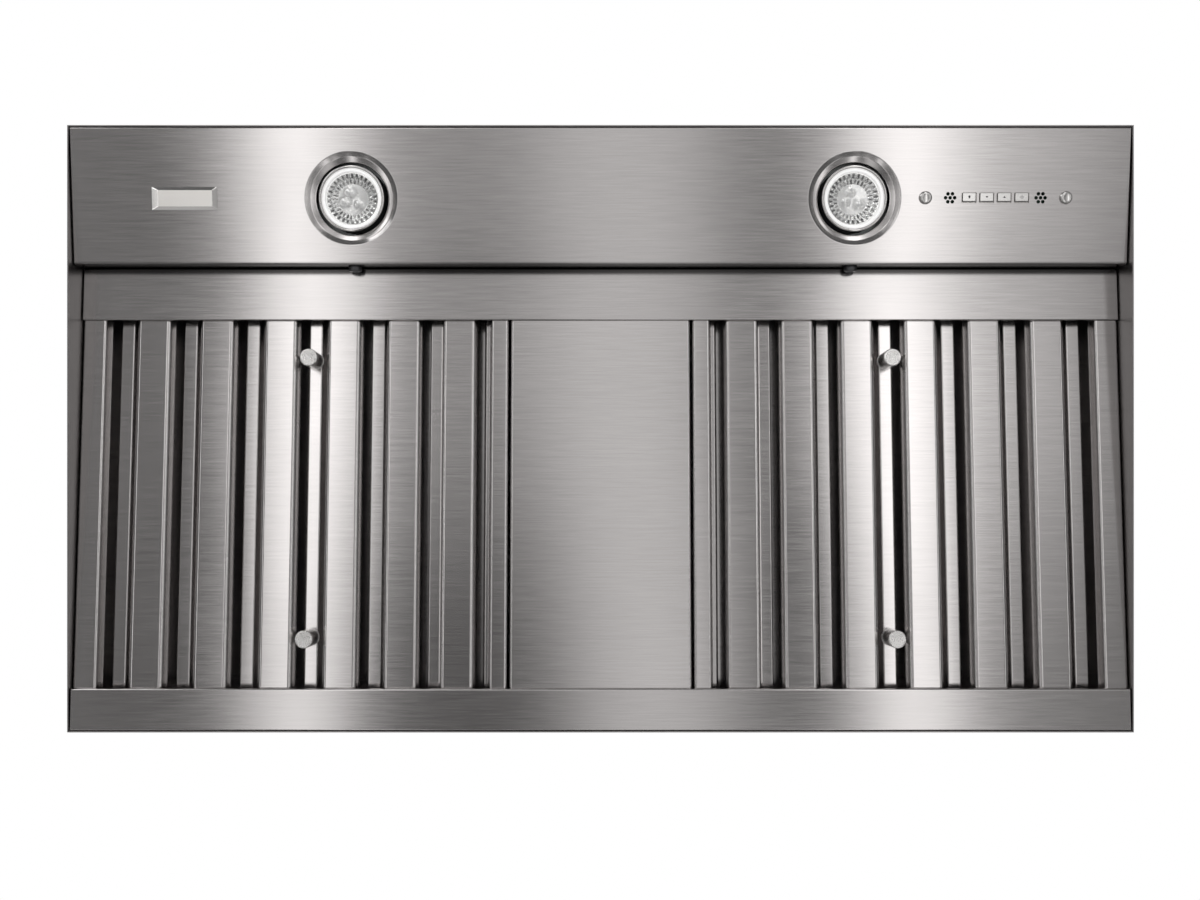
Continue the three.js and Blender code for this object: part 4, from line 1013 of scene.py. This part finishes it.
class HOOD_OT_lamps(HoodOperator):
    """Lamp bezels, reflector lamps with fluted glass, sockets and brackets"""

    bl_idname = "hood.lamps"
    bl_label = "Lamps"

    def execute(self, context):
        for side, x in lamp_places().items():
            place = on_panel(x, LAMP_LINE)
            self.bezel(side, place)
            self.bowl(side, place)
            self.body(side, place)
            self.glass(side, place)
            dress(f"{side}_lamp_socket", painted("ceramic"))
            dress(f"{side}_lamp_bracket", galvanised())
        return {"FINISHED"}

    def bezel(self, side, place):
        """Rounded ring on the panel, and the sleeve that rises behind it, whose black is painted shade."""
        Form().turned([
            (25.7, 1.7), (25.0, 1.6), (24.75, 1.1), (24.85, 0.55), (25.15, 0.18), (25.6, 0.02), (26.1, 0.05),
            (26.6, 0.3), (26.85, 0.75), (26.9, 1.3), (26.9, 2.2), (25.8, 2.2),
        ], place).piece(f"{side}_bezel_ring", turned_steel(0.0, 0.16), "stainless", f"{side}_lamp_bezel")
        # The sleeve is the bezel's own wall. Its black is painted shade that darkens what the dish reflects
        # below the ring.
        Form().turned([
            (25.8, 2.2), (26.8, 2.2), (26.8, 27.3), (30.9, 27.3), (30.9, 28.3), (25.7, 28.3),
        ], place).piece(f"{side}_bezel_sleeve", painted("black plastic"), "black_plastic")

    def bowl(self, side, place):
        """Fluted bowl of the reflector, and its middle with three domes."""
        flutes, relief = 30, 0.55
        lobes, swell, spread = ((-2.7, -5.4), (5.4, 4.1), (-6.4, 2.4)), 1.9, 9.0

        def fluted(radius, height, angle):
            share = (radius - BOWL_INNER) / (BOWL_OUTER - BOWL_INNER)
            depth = relief * math.sin(2 * math.pi * share) * min(1.0, 4 * (1 - share))
            return radius, height + depth * math.cos(flutes * angle)

        def domed(radius, height, angle):
            x, y = radius * math.cos(angle), radius * math.sin(angle)
            rise = sum(math.exp(-((x - u) ** 2 + (y - v) ** 2) / spread) for u, v in lobes)
            return radius, height - swell * rise

        shares = [k / 16 for k in range(17)]
        bell = [(BOWL_INNER + (BOWL_OUTER - BOWL_INNER) * s, 9.2 - 3.35 * s - 1.1 * s * s) for s in shares]
        bowl = Form().turned(bell, place, 10 * flutes, closed=False, shape=fluted)
        bowl.piece(f"{side}_lamp_bowl", reflector_metal(0.08, flutes), "reflector")
        crown = [(BOWL_INNER * k / 24, 8.6 + 0.6 * (k / 24) ** 2) for k in range(25)]
        middle = Form().turned(crown, place, 72, closed=False, shape=domed)
        middle.piece(f"{side}_lamp_middle", reflector_metal(0.26), "reflector")

    def body(self, side, place):
        """White glass body that carries the bowl, and its rim, bright with a faint painted glow that the
        whole piece shares.
        """
        Form().turned([
            (21.55, 4.7), (21.55, 2.5), (21.7, 2.0), (22.2, 1.65), (23.0, 1.5), (23.9, 1.55), (24.7, 1.8),
            (25.2, 2.3), (25.4, 3.0), (25.4, 4.6), (24.2, 9.5), (21.6, 17.5), (18.0, 25.0), (13.0, 32.5),
            (10.0, 38.0), (10.0, 50.0), (0, 50.0), (0, 36.5), (5.5, 36.2), (9.2, 33.8), (12.9, 29.2),
            (16.2, 23.0), (18.8, 15.8), (20.5, 9.3), (21.4, 5.2),
        ], place).piece(f"{side}_lamp_body", rim_enamel_with_painted_glow(), "reflector", f"{side}_lamp_bulb")

    def glass(self, side, place):
        """Front glass: a crowned face with a ring of beads and a band of radial flutes."""
        flutes = sizes().flute_count
        edge, front, back, crown, rings = 21.2, 1.55, 4.4, 0.5, 26

        def pressed(radius, height, angle):
            share = radius / edge
            if share > 0.97 or height > 3:
                return radius, height
            band = max(0.0, 1 - abs(share - 0.8) / 0.17)
            beads = max(0.0, 1 - abs(share - 0.6) / 0.05)
            return radius, height + (0.08 * band + 0.06 * beads) * math.cos(flutes * angle)

        profile = [(edge * k / rings, front + crown * (k / rings) ** 2) for k in range(rings + 1)]
        profile += [(edge, back), (0, back)]
        glass = Form().turned(profile, place, 6 * flutes, closed=False, shape=pressed)
        glass.piece(f"{side}_lamp_glass", lamp_glass(), "lamp_glass", f"{side}_lamp_lens", crease=60)


def glyphs():
    """Plain pictograms for the buttons, in millimetres about the middle: lists of outlines."""
    fan_down = [[(-1.1, 0.7), (1.1, 0.7), (0, -0.9)]]
    fan_up = [[(-1.1, -0.7), (1.1, -0.7), (0, 0.9)]]
    globe = arc(0.95, -50, 230, 18, (0, 0.35)) + [(-0.45, -0.9), (0.45, -0.9)]
    lamp = [globe, [(-0.4, -1.15), (0.4, -1.15), (0.4, -1.4), (-0.4, -1.4)]]
    ring = arc(1.2, -235, 55, 20) + arc(0.85, 55, -235, 20)
    power = [ring, [(-0.18, 0.1), (0.18, 0.1), (0.18, 1.45), (-0.18, 1.45)]]
    return [lamp, fan_down, fan_up, power]


class HOOD_OT_controls(HoodOperator):
    """Push buttons with their pictograms, the switch box, its board and its screws"""

    bl_idname = "hood.controls"
    bl_label = "Controls"

    def execute(self, context):
        middle, buttons = control_places()
        for i, (x, outlines) in enumerate(zip(buttons, glyphs())):
            self.button(f"button_{i + 1}", on_panel(x, CONTROL_LINE), outlines)
        for side, sign in SIDES.items():
            stud = Form().turned([
                (0, -2.36), (2.5, -2.4), (2.9, -2.64), (3.4, -2.72), (4.2, -2.54), (4.8, -2.05),
                (5.2, -1.3), (5.4, -0.3), (5.2, -0.05), (2.0, -0.05), (2.0, 6.5), (0, 6.5),
            ], on_panel(middle + sign * STUD_OFFSET, CONTROL_LINE), 48)
            finish = turned_steel(0.0, 0.18)
            stud.piece(f"{side}_control_stud", finish, "turned_steel", f"{side}_control_screw")
        dress("switch_box", painted("black plastic"))
        dress("control_board", painted("circuit board"))
        return {"FINISHED"}

    def button(self, node, place, outlines):
        """Cap with sloping sides, its flange and stem, and the pictogram on its face."""
        face_y, face_z = -0.5, -0.8
        face = rounded_rectangle(-0.16, face_y, 10.3, 6.2, 0.4)
        side = rounded_rectangle(0, 0, 11.5, 7.8, 0.7)
        rim = rounded_rectangle(0, 0, 13.7, 10.0, 0.8)
        stem = rounded_rectangle(0, 0, 4.0, 4.0, 0.4)
        cap = Form().stack(place, (
            (face, face_z), (side, 0.55), (side, 1.3), (rim, 1.3), (rim, 2.4), (stem, 2.4), (stem, 7.9),
        ))
        steel = turned_steel(0.0, 0.24, 1.25)
        cap.piece(f"{node}_cap", steel, "button_cap", node, f"{node}_body", crease=22)
        sign = Form()
        for outline in outlines:
            sign.slab([(u, face_y - v) for u, v in outline], place, face_z - 0.04, face_z + 0.02)
        sign.piece(f"{node}_sign", painted("button ink"), "black_plastic", body=f"{node}_body")


class HOOD_OT_trough(HoodOperator):
    """Grease trough with its rolled lip, end plates and stop angle"""

    bl_idname = "hood.trough"
    bl_label = "Grease trough"

    def execute(self, context):
        _, (half, back, _) = corners_of("grease_trough")
        depth, rise, lip = 32.3, 1.85, 1.75
        front = back - depth
        middle = (front, rise + lip)
        place = MILLIMETRE @ ACROSS
        form = Form()
        rows = folded([(back, 36), (back, 0), (front, rise)], thickness=-SHEET, inside=1.4)
        faces = [[Vector(point) for point in arc(r, -94, -295, 20, middle)] for r in (lip, lip - SHEET)]
        form.sheet(rows[:-1] + list(zip(*faces)), place, -half, half)

        def floor(y):
            return rise / depth * (back - y) + SHEET

        stop, end = front + FilterShape.lower + 0.5, half - FilterShape.outer_lip
        angle = [(stop + 1.0, floor(stop) + 14), (stop, floor(stop)), (stop + 10, floor(stop + 10))]
        form.sheet(folded(angle), place, -end, end)
        outline = [
            (front, lip + rise - 1), (back - 0.2, 0.8), (back - 0.2, 20), (stop + 4, 20),
            (stop + 3, lip + rise), (front, lip + rise + 0.5),
        ]
        form.slab(outline, place, -half, SHEET - half)
        form.slab(outline, place, half - SHEET, half)
        form.piece("grease_trough_sheet", brushed("across"), "stainless", "grease_trough", edge=True)
        return {"FINISHED"}


class HOOD_OT_flange_screws(HoodOperator):
    """Domed screws in the panel's front flange, which hold the lamp brackets"""

    bl_idname = "hood.flange_screws"
    bl_label = "Flange screws"

    def execute(self, context):
        height = 21.5
        for side in SIDES:
            node = f"{side}_flange_screw"
            place = upright(middle_of(node)[0], corners_of(node)[0][1], height)
            screw = Form().turned([
                (0, 0), (2, 0), (2, 4.8), (5.6, 4.8), (5.6, 7.2), (5.2, 8.1), (4.3, 8.65), (2.6, 8.7),
                (2.2, 7.4), (0, 7.3),
            ], place @ Matrix.Rotation(-math.pi / 2, 4, "X"), 40)
            screw.piece(f"{node}_head", painted("dark steel"), "dark_steel", node)
        return {"FINISHED"}


class FilterShape:
    """Sizes of a filter in its own millimetres, as in the frame; the right-hand one, from the middle out."""

    inner, outer = 77.2, 435.0
    upper, lower = -333.4, 10.73
    depth, rear_lip = 30.0, 12.0
    inner_lip, outer_lip = 14.4, 19.2
    baffle, leg, flare, bend, channel_bend = 27.0, 9.0, 2.3, 2.8, 1.5
    baffle_lift, baffle_gap = 1.3, 1.8
    rib_depth = 14.0
    ribs = (402.3, 348.8, 295.8, 242.2, 188.9, 138.8, 91.9)


class HOOD_OT_filters(HoodOperator):
    """Baffle filters and their turned knobs"""

    bl_idname = "hood.filters"
    bl_label = "Filters"

    def execute(self, context):
        finish = brushed("across", -0.02, 1.06)
        for side, sign in SIDES.items():
            place = on_slide() @ Matrix.Diagonal((sign, 1, 1, 1))
            pieces = [("filter_channels", "filter_frame", self.frame(place))]
            for i in range(6):
                node = f"baffle_{i + 1}"
                middle = sign * middle_of(f"{side}_{node}")[0]
                pieces.append((f"{node}_sheet", node, self.baffle(place, middle)))
            for name, node, form in pieces:
                form.piece(
                    f"{side}_{name}", finish, "stainless", f"{side}_{node}", f"{side}_filter", edge=True,
                )
            for row in ("front", "rear"):
                self.knob(side, row)
        return {"FINISHED"}

    def frame(self, place):
        """Side and end channels, and the rear ribs that the baffles stand before."""
        shape, form = FilterShape, Form()
        inner, outer, upper, lower, rear = shape.inner, shape.outer, shape.upper, shape.lower, shape.depth
        inner_edge, outer_edge = inner + shape.inner_lip, outer - shape.outer_lip
        for path in (
            [(inner + shape.rear_lip, rear), (inner, rear), (inner, 0), (inner_edge, 0),
             (inner_edge + shape.flare, shape.leg)],
            [(outer_edge - shape.flare, shape.leg), (outer_edge, 0), (outer, 0), (outer, rear),
             (outer - shape.rear_lip, rear)],
        ):
            form.sheet(folded(path, inside=shape.channel_bend, steps=8), place @ BACKWARDS, upper, lower)
        inset = place @ Matrix.Translation((0, 0, 0.04)) @ ACROSS
        for path in (
            [(upper + shape.rear_lip, rear), (upper, rear), (upper, 0), (upper + 20, 0)],
            [(lower - 9, 0), (lower, 0), (lower, rear), (lower - shape.rear_lip, rear)],
        ):
            form.sheet(folded(path), inset, inner + 0.5, outer - 0.5)
        foot = rear - 2 * SHEET + 0.3
        section = ((20, foot), (7.2, foot), (5.9, shape.rib_depth))
        left, right, end_gap = inner + 1.2, outer - 1.2, 6
        for x in shape.ribs:
            path = [(x - u, v) for u, v in section] + [(x + u, v) for u, v in reversed(section)]
            path = [(min(max(u, left), right), v) for u, v in path]
            form.sheet(folded(path, inside=0.7), place @ BACKWARDS, upper + end_gap, lower - end_gap)
        return form

    def baffle(self, place, middle):
        """Front baffle with its two flared legs."""
        shape, form = FilterShape, Form()
        left, right, leg = middle - shape.baffle / 2, middle + shape.baffle / 2, shape.leg
        path = [(left - shape.flare, leg), (left, 0), (right, 0), (right + shape.flare, leg)]
        place = place @ Matrix.Translation((0, 0, shape.baffle_lift)) @ BACKWARDS
        ends = shape.upper + shape.baffle_gap, shape.lower - shape.baffle_gap
        form.sheet(folded(path, inside=shape.bend, steps=8), place, *ends)
        return form

    def knob(self, side, row):
        low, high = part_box(f"{side}_{row}_knob")
        along = on_slide().inverted() @ ((low + high) / 2)
        knob = Form().turned([
            (0, -12.4), (3.0, -12.52), (6.1, -12.8), (6.55, -12.8), (6.95, -12.6), (7.2, -12.25),
            (7.25, -11.9), (7.25, 8.95), (7.0, 9.1), (6.05, 9.1), (6.05, 10.7), (7.0, 10.7),
            (7.25, 10.85), (7.25, 13.4), (7.0, 13.65), (0, 13.7),
        ], on_slide() @ Matrix.Translation((along.x, along.y, 0)), 72)
        finish = turned_steel(11.0, 0.28, 1.3)
        knob.piece(f"{side}_{row}_pull", finish, "turned_steel", f"{side}_{row}_knob", f"{side}_filter")


class HOOD_OT_duct_collar(HoodOperator):
    """Round collar with its bead, and the two damper flaps on their pin"""

    bl_idname = "hood.duct_collar"
    bl_label = "Duct collar"

    def execute(self, context):
        (_, _, base), (_, _, top) = corners_of("duct_collar")
        y = middle_of("duct_collar")[1]
        outer, inner, bead = 101.5, 100.5, top - 10
        rim = outer + 16
        swell = ((0, -3.4), (0.35, -2.4), (1.1, -1.3), (1.6, 0), (1.1, 1.3), (0.35, 2.4), (0, 3.4))
        collar = Form().turned([
            (inner, base), (rim - 0.2, base), (rim, base + 0.2), (rim, base + 0.8), (rim - 0.2, base + 1),
            (outer + 1.2, base + 1), (outer + 0.35, base + 1.35), (outer, base + 2.2),
            *((outer + out, bead + up) for out, up in swell),
            (outer, top - 0.2), (outer - 0.2, top), (inner + 0.2, top), (inner, top - 0.2),
            (inner, bead + 3.2), (inner + 0.8, bead), (inner, bead - 3.2), (inner, base + 9.1),
            (inner - 6, base + 9.1), (inner - 6, base + 8.1), (inner, base + 8.1),
        ], upright(0, y), 144)
        collar.piece("collar_ring", galvanised(), "galvanised", "duct_collar")
        dress("damper_pin", turned_steel(0.0, 0.25))
        pin = upright(0, y, base + 13)
        self.flap("back", pin, 0, 1)
        self.flap("front", pin, 1, -1)
        return {"FINISHED"}

    def flap(self, name, place, first, side):
        """Half disc with rolled knuckles on every other stretch of the pin."""
        radius, knuckle, bore, gap, thickness = 98.3, 3.5, 2.3, 0.4, 0.8
        edge = knuckle + gap
        start = math.degrees(math.asin(edge / radius))
        disc = [(u, side * v) for u, v in arc(radius, start, 180 - start, 60)]
        flap = Form().slab(disc, place, 0, thickness)
        half, stretches = radius - 6, 4
        pitch = 2 * half / stretches
        for k in range(first, stretches, 2):
            begin = k * pitch - half + gap / 2
            end = begin + pitch - gap
            ring = [(bore, begin), (knuckle, begin), (knuckle, end), (bore, end)]
            flap.turned(ring, place @ Matrix.Rotation(math.pi / 2, 4, "Y"), 28)
            near, far = side * 2.6, side * (edge + 2)
            flap.slab([(begin, near), (end, near), (end, far), (begin, far)], place, 0, thickness)
        node = f"{name}_damper_flap"
        flap.piece(f"{name}_damper_leaf", galvanised(), "galvanised", node, f"{name}_flap", edge=True)


class HOOD_OT_blower(HoodOperator):
    """Finishes of the blower, its motor and its capacitor"""

    bl_idname = "hood.blower"
    bl_label = "Blower"

    def execute(self, context):
        for node in ("scroll_housing", "blower_wheel", "capacitor_clip"):
            dress(node, galvanised(), edge=False)
        dress("motor", painted("motor paint"))
        dress("motor_mount", painted("dark steel"))
        dress("capacitor", painted("capacitor can"))
        return {"FINISHED"}


class HOOD_OT_supply(HoodOperator):
    """Supply box with its cover, and the cable gland on the roof"""

    bl_idname = "hood.supply"
    bl_label = "Supply box and gland"

    def execute(self, context):
        dress("junction_box", galvanised())
        dress("junction_cover", galvanised())
        (_, _, under), (_, _, top) = corners_of("cable_gland")
        x, y, _ = middle_of("cable_gland")
        foot, half_flats, grip = 292.3, 12.99, 10.5

        def flats(radius, height, angle):
            """Six flats on the nut and shallow ribs on the cap."""
            if foot - 0.1 < height < foot + 5.1 and radius > 12.4:
                turn = (angle + math.pi / 6) % (math.pi / 3) - math.pi / 6
                return min(radius, half_flats / math.cos(turn)), height
            if height > foot + 6 and radius > grip:
                return radius + 0.35 * math.cos(18 * angle) * (radius - grip) / 1.5, height
            return radius, height

        gland = Form().turned([
            (6, under), (10.4, under), (10.7, under + 0.3), (10.7, foot), (14.2, foot), (15, foot + 0.6),
            (15, foot + 4.4), (14.2, foot + 5), (11.6, foot + 5), (11.6, foot + 7), (11.6, foot + 14),
            (11.0, foot + 16.5), (9.6, foot + 18.8), (8.0, top), (6.6, top), (6, top - 0.7),
        ], upright(x, y), 144, shape=flats)
        gland.piece("gland_nut", painted("black plastic"), "black_plastic", "cable_gland")
        return {"FINISHED"}


class HOOD_OT_fasteners(HoodOperator):
    """Low screws that hold the roof to the walls' flanges and the collar to the roof"""

    bl_idname = "hood.fasteners"
    bl_label = "Fasteners"

    def execute(self, context):
        inset, circle = 8.5, 110.5
        half, back, roof = corners_of("roof_panel")[1]
        half, back = half - inset, back - inset
        places = [(x, side * back, roof) for side in (-1, 1) for x in (-410, -246, -82, 82, 246, 410)]
        places += [(side * half, y, roof) for side in (-1, 1) for y in (-150, 0, 150)]
        y, flange = middle_of("duct_collar")[1], corners_of("duct_collar")[0][2] + SHEET
        places += [(dx, y + dy, flange) for dx, dy in arc(circle, 22.5, 337.5, 7)]
        screws = Form()
        for place in places:
            screws.turned([
                (0, -0.6), (3.9, -0.6), (4.0, 0.3), (3.8, 1.1), (3.2, 1.75), (2.2, 2.1), (1.5, 2.15),
                (1.1, 1.2), (0, 1.1),
            ], upright(*place), 28)
        screws.piece("roof_screws", turned_steel(0.0, 0.3), "turned_steel")
        return {"FINISHED"}


BUILD_ORDER = (
    HOOD_OT_studio,
    HOOD_OT_liner,
    HOOD_OT_control_panel,
    HOOD_OT_badge_plate,
    HOOD_OT_lamps,
    HOOD_OT_controls,
    HOOD_OT_trough,
    HOOD_OT_flange_screws,
    HOOD_OT_filters,
    HOOD_OT_duct_collar,
    HOOD_OT_blower,
    HOOD_OT_supply,
    HOOD_OT_fasteners,
)


class HOOD_PT_sidebar(bpy.types.Panel):
    """Lists the hood's settings and building steps"""

    bl_idname = "HOOD_PT_sidebar"
    bl_label = "Hood insert"
    bl_space_type = "VIEW_3D"
    bl_region_type = "UI"
    bl_category = "Hood insert"

    def draw(self, context):
        layout = self.layout
        for group in (context.scene.hood_sizes, context.scene.hood_finishes, context.scene.hood_studio):
            box = layout.box()
            for name in group.__annotations__:
                box.prop(group, name)
        for step in BUILD_ORDER:
            layout.operator(step.bl_idname)


SETTINGS = {"hood_sizes": HoodSizes, "hood_finishes": HoodFinishes, "hood_studio": HoodStudio}


def register():
    for group in (*SETTINGS.values(), *BUILD_ORDER, HOOD_PT_sidebar):
        bpy.utils.register_class(group)
    for name, group in SETTINGS.items():
        setattr(bpy.types.Scene, name, bpy.props.PointerProperty(type=group))


def unregister():
    for name in SETTINGS:
        delattr(bpy.types.Scene, name)
    for group in (HOOD_PT_sidebar, *reversed(BUILD_ORDER), *SETTINGS.values()):
        bpy.utils.unregister_class(group)


def main():
    register()
    for step in BUILD_ORDER:
        family, name = step.bl_idname.split(".")
        getattr(getattr(bpy.ops, family), name)()


if __name__ == "__main__":
    main()
